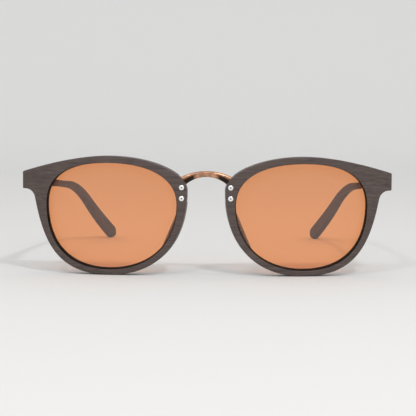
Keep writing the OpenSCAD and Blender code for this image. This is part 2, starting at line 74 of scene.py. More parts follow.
# Sides of the round rivets and of their bores
RIVET_SIDES = 40


def length(name, default, description):
    return FloatProperty(name=name, description=description, default=default, unit="LENGTH", precision=5)


def share(name, default, description):
    return FloatProperty(name=name, description=description, default=default, min=0, max=1, subtype="FACTOR")


def turn(name, degrees, description):
    return FloatProperty(name=name, description=description, default=math.radians(degrees), subtype="ANGLE")


def power(name, default, description):
    return FloatProperty(name=name, description=description, default=default, min=0, unit="POWER")


def spot(name, default, description):
    return FloatVectorProperty(name=name, description=description, default=default, subtype="TRANSLATION")


def colour(name, default, description):
    return FloatVectorProperty(
        name=name, description=description, default=default, size=3, min=0, max=1, subtype="COLOR"
    )


def group(name, kind):
    return PointerProperty(name=name, description=kind.__doc__, type=kind)


class FrontSizes(PropertyGroup):
    """Sizes of the bowed front."""

    width: length("Width", 2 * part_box("left_rim")[1].x, "Overall width across the end pieces")
    lens_spacing: length("Lens spacing", 0.0725, "Distance between the lens centres")
    wrap: turn("Rim wrap", 6, "Turn of each rim back toward its temple")
    bow: length("Bow radius", 0.2, "Radius of the bowed front face")
    depth: length("Rim depth", 0.0052, "Thickness of the wood from front to back")


class OpeningSizes(PropertyGroup):
    """Sizes of the lens openings."""

    nasal: length("Nose side", 0.025, "Lens centre to the edge beside the nose")
    temporal: length("Temple side", 0.0261, "Lens centre to the edge beside the temple")
    top: length("Top", 0.0199, "Lens centre to the top edge")
    bottom: length("Bottom", 0.0211, "Lens centre to the bottom edge")
    rise: length("Rise", 0.0037, "Height of the widest points above the lens centre")
    lean: length("Lean", 0.0014, "Shift of the top and bottom points toward the temple")
    lift: length("Lift", 0.00012, "How much higher the opening lies at the lens than at the front face")
    taper: length("Taper", 0.0002, "How much the opening narrows from the front face to the lens")
    full_nose_top: share("Nose to top", 0.63, "Roundness from nose to top")
    full_temple_top: share("Top to temple", 0.67, "Roundness from top to temple")
    full_temple_low: share("Temple to bottom", 0.64, "Roundness from temple to bottom")
    full_nose_low: share("Bottom to nose", 0.60, "Roundness from bottom to nose")


class RimSizes(PropertyGroup):
    """Sizes of the wooden rims and their end pieces."""

    top: length("Top", 0.0027, "Wood above the opening")
    bottom: length("Bottom", 0.0022, "Wood below the opening")
    nasal: length("Nose side", 0.0037, "Wood beside the nose")
    temporal: length("Temple side", 0.0044, "Wood beside the temple")
    nose_rise: length("Nose rise", 0.0094, "Height of the nose corner above the lens centre")
    full_nose_top: share("Nose to top", 0.54, "Roundness from nose to top")
    full_temple_low: share("Temple to bottom", 0.64, "Roundness from temple to bottom")
    full_nose_low: share("Bottom to nose", 0.63, "Roundness from bottom to nose")
    side_lean: turn("Side lean", 12, "Lean of the temple side under the end piece")
    hinge_rise: length("Hinge rise", 0.0129, "Height of the hinge line above the lens centre")
    end_height: length("End height", 0.0067, "Height of the end piece at its outer end")
    end_depth: length("End depth", 0.0054, "Front face to the butt face at the outer end")
    end_fillet: length("End fillet", 0.004, "Radius of the hollow under the end piece")
    end_slope: turn("End slope", 17, "Fall of the top edge at the outer end")
    end_corner: length("End corner", 0.0005, "Rounding of the end piece's corners")
    front_round: length("Front rounding", 0.00045, "Rounding of the outer front edge")
    back_round: length("Back rounding", 0.0006, "Rounding of the outer back edge")
    lip_round: length("Lip rounding", 0.00024, "Rounding of the edge at the opening")
    rear_flare: share("Rear flare", 0.4, "Widening of the opening behind the lens, as a share of its depth")
    ramp_blend: length("Ramp blend", 0.0012, "Softness of the ramp behind the end piece")


class LensSizes(PropertyGroup):
    """Sizes of the lenses."""

    thickness: length("Thickness", 0.0016, "Lens thickness")
    recess: length("Recess", 0.0029, "Rim's front face to the lens")
    bite: length("Bite", 0.0004, "Reach of the lens edge into the wood")
    clearance: length("Clearance", 0.0001, "Free space round the lens edge")


class BridgeSizes(PropertyGroup):
    """Sizes of the metal bridge and its rivets."""

    rise: length("Rise", 0.0169, "Height of the arch's top above the lens centre")
    height: length("Height", 0.0023, "Height of the bar in the middle")
    fall: length("Fall", 0.0013, "Fall of the top edge from the middle to the rims")
    hollow: length("Hollow", 0.0026, "Fall of the lower edge from the middle to the rims")
    foot_width: length("Foot width", 0.002, "Width of the foot plates")
    rounding: length("Rounding", 0.00085, "Rounding of the bar's edges")
    # These four sizes place a painted dark reflection low on the bridge's ends
    painted_reflection_full: length("Painted dark up to", 0.0002, "Height over the middle line up to which the ends have a painted dark reflection")
    painted_reflection_none: length("Bright from", 0.0009, "Height over the middle line from which the ends are bright")
    painted_reflection_from: length("Painted dark from", 0.0034, "Distance from the middle at which the painted dark reflection begins")
    painted_reflection_to: length("Painted dark to", 0.0052, "Distance from the middle at which the painted dark reflection is full")
    rivet_pitch: length("Rivet pitch", 0.0042, "Spacing of the two rivets of a foot")
    rivet_rise: length("Rivet rise", 0.0086, "Height of the rivet pair above the lens centre")
    rivet_head: length("Rivet head", 0.00098, "Radius of the rivet heads")
    rivet_shank: length("Rivet shank", 0.00045, "Radius of the rivet shanks")
    rivet_sink: length("Rivet sink", 0.0003, "How deep the heads are let into the wood")
    rivet_dimple: length("Rivet dimple", 0.0003, "Radius of the dimple in each head")
    rivet_gap: length("Rivet gap", 0.00012, "Open ring in the wood round each head")


class PadSizes(PropertyGroup):
    """Sizes of the nose pads."""

    top_place: share("Top place", 0.92, "Place of the pad's top along the rim's lower nose curve")
    bottom_place: share("Bottom place", 0.52, "Place of the pad's bottom along the same curve")
    reach: length("Reach", 0.0048, "Reach of the pad behind the rim")
    flare: length("Flare", 0.001, "Turn of the pad's back edge toward the lens")
    radius: length("Edge radius", 0.00125, "Radius of the pad's edges")
    grid: length("Grid", 0.00028, "Size of the pad's surface squares")


class TempleSizes(PropertyGroup):
    """Sizes of the temples."""

    arm_length: length("Arm length", 0.073, "Straight arm from the butt face to the ear bend")
    arm_drop: turn("Arm drop", 5.1, "Slope of the arm")
    tip_drop: turn("Tip drop", 33.5, "Slope of the tip behind the ear bend")
    bend_radius: length("Bend radius", 0.057, "Radius of the ear bend")
    arm_height: length("Arm height", 0.0028, "Height of the arm at its slimmest")
    slim_length: length("Slim length", 0.058, "Length over which the arm slims down")
    tip_height: length("Tip height", 0.006, "Height of the tip")
    butt_thickness: length("Butt thickness", 0.0042, "Arm thickness at the butt")
    arm_thickness: length("Arm thickness", 0.0027, "Arm thickness behind the hinge")
    taper_length: length("Taper length", 0.035, "Length over which the thickness falls")
    inset: turn("Inset", 3, "Inward slope of the arm")
    curl_start: length("Curl start", 0.051, "Butt face to where the arm begins to curl in")
    curl_radius: length("Curl radius", 0.235, "Radius of the inward curl")
    butt_gap: length("Butt gap", 0.0002, "Gap between the open temple and the end piece")
    corner: share("Corner", 0.62, "Roundness of the arm's section")
    butt_round: length("Butt rounding", 0.00025, "Rounding of the butt face's edge")


class HingeSizes(PropertyGroup):
    """Sizes of the spring hinges that the wooden pieces make room for."""

    leaf_thickness: length("Leaf thickness", 0.0008, "Thickness of the leaf let into the end piece")
    knuckle_radius: length("Knuckle radius", 0.0013, "Radius of the hinge knuckles")
    knuckle_room: length("Knuckle room", 0.001, "Free space in the temple round the knuckles")
    case_setback: length("Case setback", 0.0023, "Pin axis to the front of the case")
    case_wall: length("Case wall", 0.001, "Thickness of the case's end walls")
    fit: length("Fit", 0.00005, "Fitting clearance of seated pieces")
    spring_length: length("Spring length", 0.0074, "Length of the spring at rest")
    spring_radius: length("Spring radius", 0.00095, "Outer radius of the spring")
    wire_radius: length("Wire radius", 0.00014, "Radius of the spring wire")
    spring_turns: IntProperty(name="Spring turns", description="Turns of the spring", default=8, min=3)


class Finishes(PropertyGroup):
    """Colours of the materials."""

    wood_dark: colour("Dark grain", (0.062, 0.045, 0.041), "Colour of the wood's dark grain")
    wood_mid: colour("Wood", (0.091, 0.067, 0.060), "Main colour of the wood")
    wood_light: colour("Light grain", (0.120, 0.090, 0.080), "Colour of the wood's light grain")
    wood_gloss: share("Wood gloss", 0.2, "Gloss of the oiled front beside the dry temples")
    # The temples' wood is darkened beside the front's as painted shade
    temple_tone: share("Temple tone", 0.7, "Tone of the temples beside the front")
    edge_black: colour("Edge black", (0.008, 0.006, 0.005), "Near-black colour on the edge round each lens")
    lens_high: colour("Upper lens", (1.0, 0.38, 0.14), "Tint of the upper lens")
    lens_low: colour("Lower lens", (0.99, 0.385, 0.15), "Tint of the lower lens")
    copper: colour("Copper", (0.66, 0.34, 0.20), "Metal of the bridge")
    copper_dull: colour("Dull copper", (0.36, 0.20, 0.13), "Darker patches of the bridge")
    # Colour of the dark reflection painted low on the bridge's ends
    copper_aged: colour("Painted dark copper", (0.035, 0.022, 0.016), "Painted dark reflection low on the ends of the bridge")
    steel: colour("Steel", (0.54, 0.53, 0.51), "Metal of the hinges")
    bright_steel: colour("Bright steel", (0.98, 0.975, 0.965), "Metal of the rivets")
    floor: colour("Floor", (0.78, 0.775, 0.765), "Colour of the floor")
    wall: colour("Wall", (0.83, 0.83, 0.825), "Colour of the backdrop")


class StageSizes(PropertyGroup):
    """Places of the camera, the backdrop and the lamps."""

    camera_place: spot("Camera", (0.011, -0.51987, 0.0628), "Place of the camera")
    camera_aim: spot("Aim", (0.00074, -0.06987, 0.02621), "Point the camera sees")
    camera_roll: turn("Roll", 0.3, "Roll of the camera about its line of sight")
    focal: FloatProperty(name="Focal length", description="Focal length in mm", default=102.0, unit="CAMERA")
    wall_distance: length("Wall distance", 1.2, "Origin to the backdrop")
    wall_bend: length("Wall bend", 0.4, "Radius of the bend from floor to backdrop")
    tone_start: length("Tone start", 0.1, "Where the floor's tone begins to change to the backdrop's")
    reach: length("Reach", 2.5, "Half width of the floor")
    sky: FloatProperty(name="Sky", description="Strength of the even studio light", default=0.85, min=0)
    key: power("Key", 1.2, "Power of the key lamp")
    fill: power("Fill", 0.5, "Power of the fill lamp")
    lamp_size: length("Lamp size", 0.07, "Width of the lamps")
    lamp_place: spot("Lamp place", (0.2, -0.5, 0.6), "Place of the key lamp; the fill lamp mirrors it")


class SunglassesSettings(PropertyGroup):
    """All settings of the sunglasses."""

    front: group("Front", FrontSizes)
    opening: group("Opening", OpeningSizes)
    rim: group("Rim", RimSizes)
    lens: group("Lens", LensSizes)
    bridge: group("Bridge", BridgeSizes)
    pad: group("Pad", PadSizes)
    temple: group("Temple", TempleSizes)
    hinge: group("Hinge", HingeSizes)
    finish: group("Finish", Finishes)
    stage: group("Stage", StageSizes)


# Outlines, as arrays of points

def bezier(points, t):
    a, b, c, d = np.asarray(points, float)
    t = np.asarray(t, float)[:, None]
    return a * (1 - t) ** 3 + b * 3 * t * (1 - t) ** 2 + c * 3 * t * t * (1 - t) + d * t ** 3


def curve(points, steps, end=1.0):
    return bezier(points, np.linspace(0, end, steps, endpoint=False))


def quarter_turn(steps):
    return np.linspace(0, math.pi / 2, steps + 1)


def soft_corner(start, corner, end, steps):
    t = np.linspace(0, 1, steps, endpoint=False)[:, None]
    return (1 - t) ** 2 * start + 2 * t * (1 - t) * corner + t * t * end


def straight(start, end, steps):
    t = np.linspace(0, 1, steps, endpoint=False)[:, None]
    return start + t * (end - start)


def quarter(apex, side, full, lean=0.0):
    """Quarter of an oval from its level apex to its side, which may lean."""
    fall = (apex[1] - side[1]) * full
    return (
        apex,
        (apex[0] + (side[0] - apex[0]) * full, apex[1]),
        (side[0] + fall * math.tan(lean), side[1] + fall),
        side,
    )


def outward(outline):
    """Outward normals of a closed outline that runs clockwise."""
    along = np.roll(outline, -1, 0) - np.roll(outline, 1, 0)
    normal = np.stack([-along[:, 1], along[:, 0]], 1)
    return normal / np.linalg.norm(normal, axis=1, keepdims=True)


def in_directions(outline, centre, directions):
    """Points of an outline in the given directions from its centre."""
    spokes = outline - centre
    angles = np.arctan2(spokes[:, 1], spokes[:, 0])
    return np.stack([np.interp(directions, angles, outline[:, k], period=2 * math.pi) for k in (0, 1)], 1)


def ease(start, end, t):
    t = np.clip(t, 0, 1)
    return start + (end - start) * (3 - 2 * t) * t * t


def soft_max(a, b, blend):
    overlap = np.clip(1 - np.abs(a - b) / blend, 0, 1)
    return np.maximum(a, b) + overlap * overlap * blend / 4


class FrontShape:
    """Outlines and bowed faces of a rim in its own plane: u across and w up from the lens centre."""

    OPENING_STEPS = 90
    NOSE_STEPS = 40
    TOP_STEPS = 30
    CORNER_STEPS = 6
    END_STEPS = 5
    UNDERSIDE_STEPS = 2
    FILLET_STEPS = 14
    SIDE_STEPS = 4
    LOW_STEPS = 48

    def __init__(self, settings):
        self.settings = settings
        front, rim = settings.front, settings.rim
        self.cos, self.sin = math.cos(front.wrap), math.sin(front.wrap)
        self.lens_x = front.lens_spacing / 2
        self.lens_z = settings.opening.bottom + rim.bottom
        self.end_x = front.width / 2
        self.hinge_z = self.lens_z + rim.hinge_rise
        self.butt_y = self.face_y(self.end_x) + rim.end_depth
        self.end_u = (self.end_x - self.lens_x) * self.cos + self.face_y(self.end_x) * self.sin
        self.butt_x = self.lens_x + (self.end_u - self.butt_y * self.sin) / self.cos
        leaf_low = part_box("left_hinge_leaf")[0]
        # The ramp reaches the butt face just beside the leaf's seat
        self.block_x = leaf_low.x - 2 * settings.hinge.fit
        # The leaf lies flush in the butt face, which sets the lens centre's front face in the frame
        self.front_y = leaf_low.y + settings.hinge.leaf_thickness - self.butt_y

    def face_y(self, x):
        """Back distance of the bowed face at x."""
        bow = self.settings.front.bow
        across = x - (self.lens_x - bow * self.sin)
        return bow * self.cos - math.sqrt(bow ** 2 - across ** 2)

    def face(self, u, depth=0.0):
        """Back distance of the bowed face in the rim's plane."""
        bow = self.settings.front.bow
        return bow - np.sqrt((bow - depth) ** 2 - u * u)

    def back(self, u):
        """Back of the wood, which ramps out to the butt face behind the end piece."""
        blend = self.settings.rim.ramp_blend
        base = self.lens_x - self.block_x + self.butt_y
        ramp = (base + u * (self.cos - self.sin)) / (self.cos + self.sin)
        butt = (self.butt_y - u * self.sin) / self.cos
        return np.minimum(butt, soft_max(self.face(u, self.settings.front.depth), ramp, blend))

    def front_x(self, u):
        """Distance of the front face from the middle of the front."""
        return self.lens_x + u * self.cos - float(self.face(np.float64(u))) * self.sin

    def place(self, points, y):
        """Points of the left rim in the frame."""
        u, w = points[:, 0], points[:, 1]
        x = self.lens_x + u * self.cos - y * self.sin
        return np.stack([x, self.front_y + u * self.sin + y * self.cos, self.lens_z + w], 1)

    def opening_points(self, grow):
        """Nose, top, temple and bottom points of the opening."""
        o = self.settings.opening
        return (
            (-o.nasal - grow, o.rise),
            (o.lean, o.top + grow),
            (o.temporal + grow, o.rise),
            (o.lean, -o.bottom - grow),
        )

    def rim_points(self):
        """Nose, top, temple and bottom points of the rim's outer edge."""
        o, rim = self.settings.opening, self.settings.rim
        return (
            (-o.nasal - rim.nasal, rim.nose_rise),
            (o.lean, o.top + rim.top),
            (o.temporal + rim.temporal, o.rise),
            (o.lean, -o.bottom - rim.bottom),
        )

    def centre(self):
        return np.array([self.settings.opening.lean, self.settings.opening.rise])

    def at_lens(self, outline):
        """An outline at the lens: the opening is cut straight back from the front, and rises a little."""
        lens = self.settings.lens
        return outline + np.array([lens.recess * self.sin / self.cos, self.settings.opening.lift])

    def opening_outline(self, grow, steps=OPENING_STEPS):
        o = self.settings.opening
        nose, top, temple, bottom = self.opening_points(grow)
        return np.concatenate([
            curve(quarter(top, nose, o.full_nose_top)[::-1], steps),
            curve(quarter(top, temple, o.full_temple_top), steps),
            curve(quarter(bottom, temple, o.full_temple_low)[::-1], steps),
            curve(quarter(bottom, nose, o.full_nose_low), steps),
        ])

    def rim_outline(self):
        """Outer edge with the end piece drawn out of its upper temple quarter."""
        rim = self.settings.rim
        nose, top, temple, bottom = self.rim_points()
        end_top = np.array([self.end_u, rim.hinge_rise + rim.end_height / 2])
        end_low = np.array([self.end_u, rim.hinge_rise - rim.end_height / 2])
        pull = (self.end_u - top[0]) / 3
        slope = np.array([-math.cos(rim.end_slope), math.sin(rim.end_slope)])
        top_edge = (top, (top[0] + pull, top[1]), end_top + pull * slope, end_top)
        corner = rim.end_corner
        down, level = np.array([0, -corner]), np.array([-corner, 0])
        # The top edge ends with a speed of three pulls, so this stops it one corner before its end
        stop = 1 - corner / (3 * pull)
        top_end = bezier(top_edge, [stop])[0]
        # The fillet touches the end piece's underside and the leaning temple side
        low = end_low[1] - rim.end_fillet
        side_x = temple[0] + (low - temple[1]) * math.tan(rim.side_lean)
        hollow = np.array([side_x + rim.end_fillet / math.cos(rim.side_lean), low])
        turns = np.linspace(math.pi / 2, math.pi - rim.side_lean, self.FILLET_STEPS + 1)
        fillet = hollow + rim.end_fillet * np.stack([np.cos(turns), np.sin(turns)], 1)
        return np.concatenate([
            curve(quarter(top, nose, rim.full_nose_top)[::-1], self.NOSE_STEPS),
            curve(top_edge, self.TOP_STEPS, stop),
            soft_corner(top_end, end_top, end_top + down, self.CORNER_STEPS),
            straight(end_top + down, end_low - down, self.END_STEPS),
            soft_corner(end_low - down, end_low, end_low + level, self.CORNER_STEPS),
            straight(end_low + level, fillet[0], self.UNDERSIDE_STEPS),
            fillet[:-1],
            straight(fillet[-1], np.array(temple), self.SIDE_STEPS),
            curve(quarter(bottom, temple, rim.full_temple_low, rim.side_lean)[::-1], self.LOW_STEPS),
            curve(quarter(bottom, nose, rim.full_nose_low), self.LOW_STEPS),
        ])

    def nose_wood(self, place):
        """Middle of the wood along the rim's lower nose curve."""
        o, rim = self.settings.opening, self.settings.rim
        inner, outer = self.opening_points(0), self.rim_points()
        edges = (quarter(inner[3], inner[0], o.full_nose_low), quarter(outer[3], outer[0], rim.full_nose_low))
        return sum(bezier(edge, [place])[0] for edge in edges) / 2

    def rivet_places(self, side):
        """Back distance of the wood at a foot's rivets, and the two places of their axes."""
        bridge = self.settings.bridge
        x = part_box("bridge_rivets")[1].x - bridge.rivet_head
        middle = self.lens_z + bridge.rivet_rise
        places = [(side * x, middle + k * bridge.rivet_pitch / 2) for k in (-1, 1)]
        return self.front_y + self.face_y(x), places

    def pin_place(self, name):
        """Middle of a hinge pin, at the height of the hinge line."""
        low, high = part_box(name + "_hinge_pin")
        return Vector(((low.x + high.x) / 2, (low.y + high.y) / 2, self.hinge_z))

    def arm_slope(self):
        """Turn from level to the slope of the temple's arm."""
        return Matrix.Rotation(-self.settings.temple.arm_drop, 3, "X")


# Meshes

def new_piece(name, points, faces, materials=(), inks=None):
    """A mesh piece with outward faces; inks are the faces' material numbers."""
    mesh = bpy.data.meshes.new(name)
    mesh.from_pydata([tuple(p) for p in points], [], faces)
    for material in materials:
        mesh.materials.append(material)
    if inks is not None:
        mesh.polygons.foreach_set("material_index", inks)
    work = bmesh.new()
    work.from_mesh(mesh)
    bmesh.ops.recalc_face_normals(work, faces=work.faces)
    work.to_mesh(mesh)
    work.free()
    piece = bpy.data.objects.new(name, mesh)
    bpy.context.scene.collection.objects.link(piece)
    return piece


def smooth(piece, degrees=35):
    piece.data.shade_smooth()
    piece.data.set_sharp_from_angle(angle=math.radians(degrees))


def mirrored(points, side):
    return points * np.array([side, 1, 1])


def skin(loops, ring=False):
    """Faces over equal closed loops; ring joins the last loop to the first, or else both ends are closed."""
    count, size = len(loops), len(loops[0])
    faces = []
    for i in range(count if ring else count - 1):
        a, b = i * size, (i + 1) % count * size
        faces += [(a + j, a + (j + 1) % size, b + (j + 1) % size, b + j) for j in range(size)]
    if not ring:
        faces.append(tuple(range(size)))
        faces.append(tuple(range((count - 1) * size, count * size)))
    return np.concatenate(loops), faces


def lathe(profile, sides):
    """Points and faces of a profile of radius and depth, turned about the depth axis.

    Both ends of the profile lie on the axis.
    """
    turns = [2 * math.pi * k / sides for k in range(sides)]
    points = [(0, profile[0][1], 0)]
    for radius, depth in profile[1:-1]:
        points += [(radius * math.cos(a), depth, radius * math.sin(a)) for a in turns]
    points.append((0, profile[-1][1], 0))
    last = len(points) - 1
    faces = [(0, 1 + k, 1 + (k + 1) % sides) for k in range(sides)]
    for i in range(len(profile) - 3):
        a, b = 1 + i * sides, 1 + (i + 1) * sides
        faces += [(a + k, a + (k + 1) % sides, b + (k + 1) % sides, b + k) for k in range(sides)]
    end = last - sides
    faces += [(last, end + k, end + (k + 1) % sides) for k in range(sides)]
    return np.array(points), faces


def rounded_section(half_a, half_b, radius):
    """Closed rounded rectangle about the origin."""
    turns = np.radians(np.concatenate([np.linspace(q, q + 90, SECTION_STEPS) for q in (0, 90, 180, 270)]))
    quadrant = np.repeat([[1, 1], [-1, 1], [-1, -1], [1, -1]], SECTION_STEPS, 0)
    inner = quadrant * np.array([half_a - radius, half_b - radius])
    return inner + radius * np.stack([np.cos(turns), np.sin(turns)], 1)


def box_points(low, high):
    corners = [(x, y, z) for x in (low[0], high[0]) for y in (low[1], high[1]) for z in (low[2], high[2])]
    faces = [(0, 1, 3, 2), (4, 6, 7, 5), (0, 4, 5, 1), (2, 3, 7, 6), (0, 2, 6, 4), (1, 5, 7, 3)]
    return np.array(corners), faces


def cut(piece, shapes):
    """Cuts closed shapes out of a piece."""
    for points, faces in shapes:
        tool = new_piece(piece.name + "_cut", points, faces)
        step = piece.modifiers.new("Cut", "BOOLEAN")
        step.operation = "DIFFERENCE"
        step.solver = "EXACT"
        step.object = tool
        settle(piece)
        bpy.data.objects.remove(tool)
    weld(piece)


def weld(piece):
    """Joins points that a cut leaves almost in one place, and drops faces without area and flat fins."""
    work = bmesh.new()
    work.from_mesh(piece.data)
    bmesh.ops.remove_doubles(work, verts=work.verts, dist=WELD_GAP)
    bmesh.ops.dissolve_degenerate(work, edges=work.edges, dist=WELD_GAP)
    bmesh.ops.triangulate(work, faces=work.faces)
    bmesh.ops.dissolve_degenerate(work, edges=work.edges, dist=WELD_GAP)
    twins = {}
    for face in work.faces:
        twins.setdefault(frozenset(face.verts), []).append(face)
    fins = [face for same in twins.values() if len(same) > 1 for face in same]
    bmesh.ops.delete(work, geom=fins, context="FACES")
    work.to_mesh(piece.data)
    work.free()


def settle(piece):
    """Keeps the mesh that a piece's modifiers give."""
    bpy.context.view_layer.update()
    result = bpy.data.meshes.new_from_object(piece.evaluated_get(bpy.context.evaluated_depsgraph_get()))
    piece.modifiers.clear()
    piece.data = result


def seat(piece, body, slot, *nodes):
    """Puts a finished piece on its body in place of its CAD nodes."""
    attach(piece, body)
    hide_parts(*nodes)


# Materials

WHITE = (1.0, 1.0, 1.0)
# How often the wood's grain changes per metre along X, Y and Z
GRAIN_ALONG_FRONT = (55, 700, 2500)
GRAIN_ALONG_TEMPLE = (500, 40, 1800)
# Bands are broader than the fibres and pores are finer; both darken the wood by a tint and a strength
BAND_SCALE, BAND_TINT, BAND_STRENGTH = 0.2, (0.84, 0.83, 0.82), 0.5
PORE_SCALE, PORE_TINT, PORE_STRENGTH = 2.4, (0.45, 0.43, 0.42), 0.7
# Roughness and sheen of dry wood, and what oil takes from the one and adds to the other
DRY_ROUGHNESS, OIL_SMOOTHING = (0.62, 0.50), 0.25
DRY_SHEEN, OIL_SHEEN = 0.08, 0.7
# How often the marks of a metal change per metre
BRUSHED_ALONG_HINGE = (4000, 500, 4000)
BRUSHED_ALONG_BRIDGE = (700, 5000, 5000)
FINE_BRUSHED = (3000, 3000, 3000)
METAL_PATCHES = (420, 420, 420)
COPPER_CLOUDS = (520, 900, 900)
# How often the dark lens edges, the lenses and the stage's paper change per metre
EDGE_RIPPLE = (900, 900, 900)
LENS_HAZE = (140, 140, 140)
PAPER_FIBRE = (260, 260, 260)
# Brightness of a material's patches beside its main colour
EDGE_PATCH_TONE = 1.6
HINGE_PATCH_TONE = 0.8
RIVET_PATCH_TONE = 0.95
# Brightness of the rivets' steel in the dimples and in patches of the dimples, darkened as painted shade
DIMPLE_PAINTED_SHADE, DIMPLE_PATCH_PAINTED_SHADE = 0.35, 0.15
# Roughness of a metal in its smoothest and roughest marks, beside its mean
SMOOTH_MARKS, ROUGH_MARKS = 0.8, 1.25


class Finish:
    """A material's nodes, with short ways to add textures to its shader."""

    def __init__(self, name):
        self.material = bpy.data.materials.new(name)
        self.material.use_nodes = True
        self.tree = self.material.node_tree
        self.shader = self.tree.nodes["Principled BSDF"]

    def node(self, kind, **values):
        made = self.tree.nodes.new(kind)
        for key, value in values.items():
            setattr(made, key, value)
        return made

    def feed(self, socket, value):
        """Links a socket to an output, or sets it to a constant."""
        if isinstance(value, bpy.types.NodeSocket):
            self.tree.links.new(value, socket)
        else:
            socket.default_value = value

    def fill(self, node, **values):
        """Feeds a node's inputs, named with underscores for spaces."""
        for key, value in values.items():
            self.feed(node.inputs[key.replace("_", " ")], value)

    def set(self, **values):
        self.fill(self.shader, **values)

    def place(self):
        """The piece's own coordinates."""
        return self.node("ShaderNodeTexCoord").outputs["Object"]

    def axes(self):
        """The piece's own X, Y and Z."""
        parts = self.node("ShaderNodeSeparateXYZ")
        self.fill(parts, Vector=self.place())
        return [parts.outputs[axis] for axis in "XYZ"]

    def noise(self, scale, rotation=(0, 0, 0), detail=4.0, roughness=0.5, distortion=0.0):
        """Noise over the piece's own coordinates, turned and scaled."""
        mapping = self.node("ShaderNodeMapping")
        self.fill(mapping, Vector=self.place(), Rotation=rotation, Scale=scale)
        texture = self.node("ShaderNodeTexNoise")
        where = mapping.outputs["Vector"]
        self.fill(texture, Vector=where, Scale=1.0, Detail=detail, Roughness=roughness, Distortion=distortion)
        return texture.outputs["Fac"]

    def ramp(self, value, *stops):
        """Colour from a value, by stops of place and tint."""
        blend = self.node("ShaderNodeValToRGB")
        while len(blend.color_ramp.elements) < len(stops):
            blend.color_ramp.elements.new(1.0)
        for element, (place, tint) in zip(blend.color_ramp.elements, stops):
            element.position = place
            element.color = (*tint, 1.0)
        self.fill(blend, Fac=value)
        return blend.outputs["Color"]

    def spread(self, value, low, high, from_low=0.3, from_high=0.7):
        """A value's range stretched to another one; the preset range is that of noise."""
        reach = self.node("ShaderNodeMapRange")
        self.fill(reach, Value=value, From_Min=from_low, From_Max=from_high, To_Min=low, To_Max=high)
        return reach.outputs["Result"]

    def mix(self, factor, first, second, kind="MIX"):
        blend = self.node("ShaderNodeMix", data_type="RGBA", blend_type=kind)
        self.feed(blend.inputs["Factor"], factor)
        # The colour sockets share their names with those for other data, so they go by number
        self.feed(blend.inputs[6], first)
        self.feed(blend.inputs[7], second)
        return blend.outputs[2]

    def math(self, operation, *values):
        made = self.node("ShaderNodeMath", operation=operation)
        for value, socket in zip(values, made.inputs):
            self.feed(socket, value)
        return made.outputs["Value"]

    def bump(self, height, strength, distance):
        lift = self.node("ShaderNodeBump")
        self.fill(lift, Height=height, Strength=strength, Distance=distance)
        self.set(Normal=lift.outputs["Normal"])


def toned(tint, tone):
    return [tone * c for c in tint]


def wood(name, finish, grain, rotation=(0, 0, 0), tone=1.0, gloss=0.0):
    """Dark wood, with its grain along the axis that has the smallest number."""
    made = Finish(name)
    fibres = made.noise(grain, rotation, detail=5.0, roughness=0.6, distortion=0.1)
    bands = made.noise(toned(grain, BAND_SCALE), rotation, detail=3.0, distortion=0.6)
    pores = made.noise(toned(grain, PORE_SCALE), rotation, detail=2.0, roughness=0.4)
    # A tone below one darkens the wood's colours as painted shade
    dark, mid, light = (toned(tint, tone) for tint in (finish.wood_dark, finish.wood_mid, finish.wood_light))
    grained = made.ramp(fibres, (0.32, dark), (0.50, mid), (0.68, light))
    broad = made.ramp(bands, (0.35, BAND_TINT), (0.65, WHITE))
    specks = made.ramp(pores, (0.30, PORE_TINT), (0.42, WHITE))
    banded = made.mix(BAND_STRENGTH, grained, broad, "MULTIPLY")
    rough_low, rough_high = (rough - OIL_SMOOTHING * gloss for rough in DRY_ROUGHNESS)
    made.set(
        Base_Color=made.mix(PORE_STRENGTH, banded, specks, "MULTIPLY"),
        Roughness=made.spread(fibres, rough_low, rough_high),
        Specular_IOR_Level=DRY_SHEEN + OIL_SHEEN * gloss,
        Coat_Weight=gloss,
        Coat_Roughness=0.2,
    )
    made.bump(fibres, strength=0.2, distance=0.00005)
    return made.material


def edge_lacquer(name, finish):
    """Near-black colour on the edges that hold the lenses."""
    made = Finish(name)
    ripple = made.noise(EDGE_RIPPLE, detail=3.0)
    pale = toned(finish.edge_black, EDGE_PATCH_TONE)
    made.set(
        Base_Color=made.ramp(ripple, (0.3, finish.edge_black), (0.7, pale)),
        Roughness=made.spread(ripple, 0.5, 0.62),
        Specular_IOR_Level=0.03,
    )
    made.bump(ripple, strength=0.1, distance=0.00003)
    return made.material


def tinted_lens(name, finish, coat):
    """Clear amber sheet; a coat gives its face the pale sheen."""
    made = Finish(name)
    lens_low, lens_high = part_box("left_lens")
    height = made.spread(made.axes()[2], 0.0, 1.0, lens_low.z, lens_high.z)
    haze = made.noise(LENS_HAZE, detail=2.0)
    made.set(
        Base_Color=made.ramp(height, (0.0, finish.lens_low), (1.0, finish.lens_high)),
        Roughness=made.spread(haze, 0.0, 0.012),
        Transmission_Weight=1.0,
        IOR=1.3,
        Coat_Weight=coat,
        Coat_IOR=1.85,
        Coat_Roughness=0.7,
    )
    return made.material


def metal(name, bright, dull, brush, roughness, strength=0.1):
    """Metal with dull patches and fine brush marks; brush scales the marks along each axis."""
    made = Finish(name)
    marks = made.noise(brush, roughness=0.6)
    patches = made.noise(METAL_PATCHES, detail=3.0)
    made.set(
        Base_Color=made.ramp(patches, (0.35, dull), (0.62, bright)),
        Roughness=made.spread(marks, roughness * SMOOTH_MARKS, roughness * ROUGH_MARKS),
        Metallic=1.0,
    )
    made.bump(marks, strength, distance=0.00002)
    return made.material


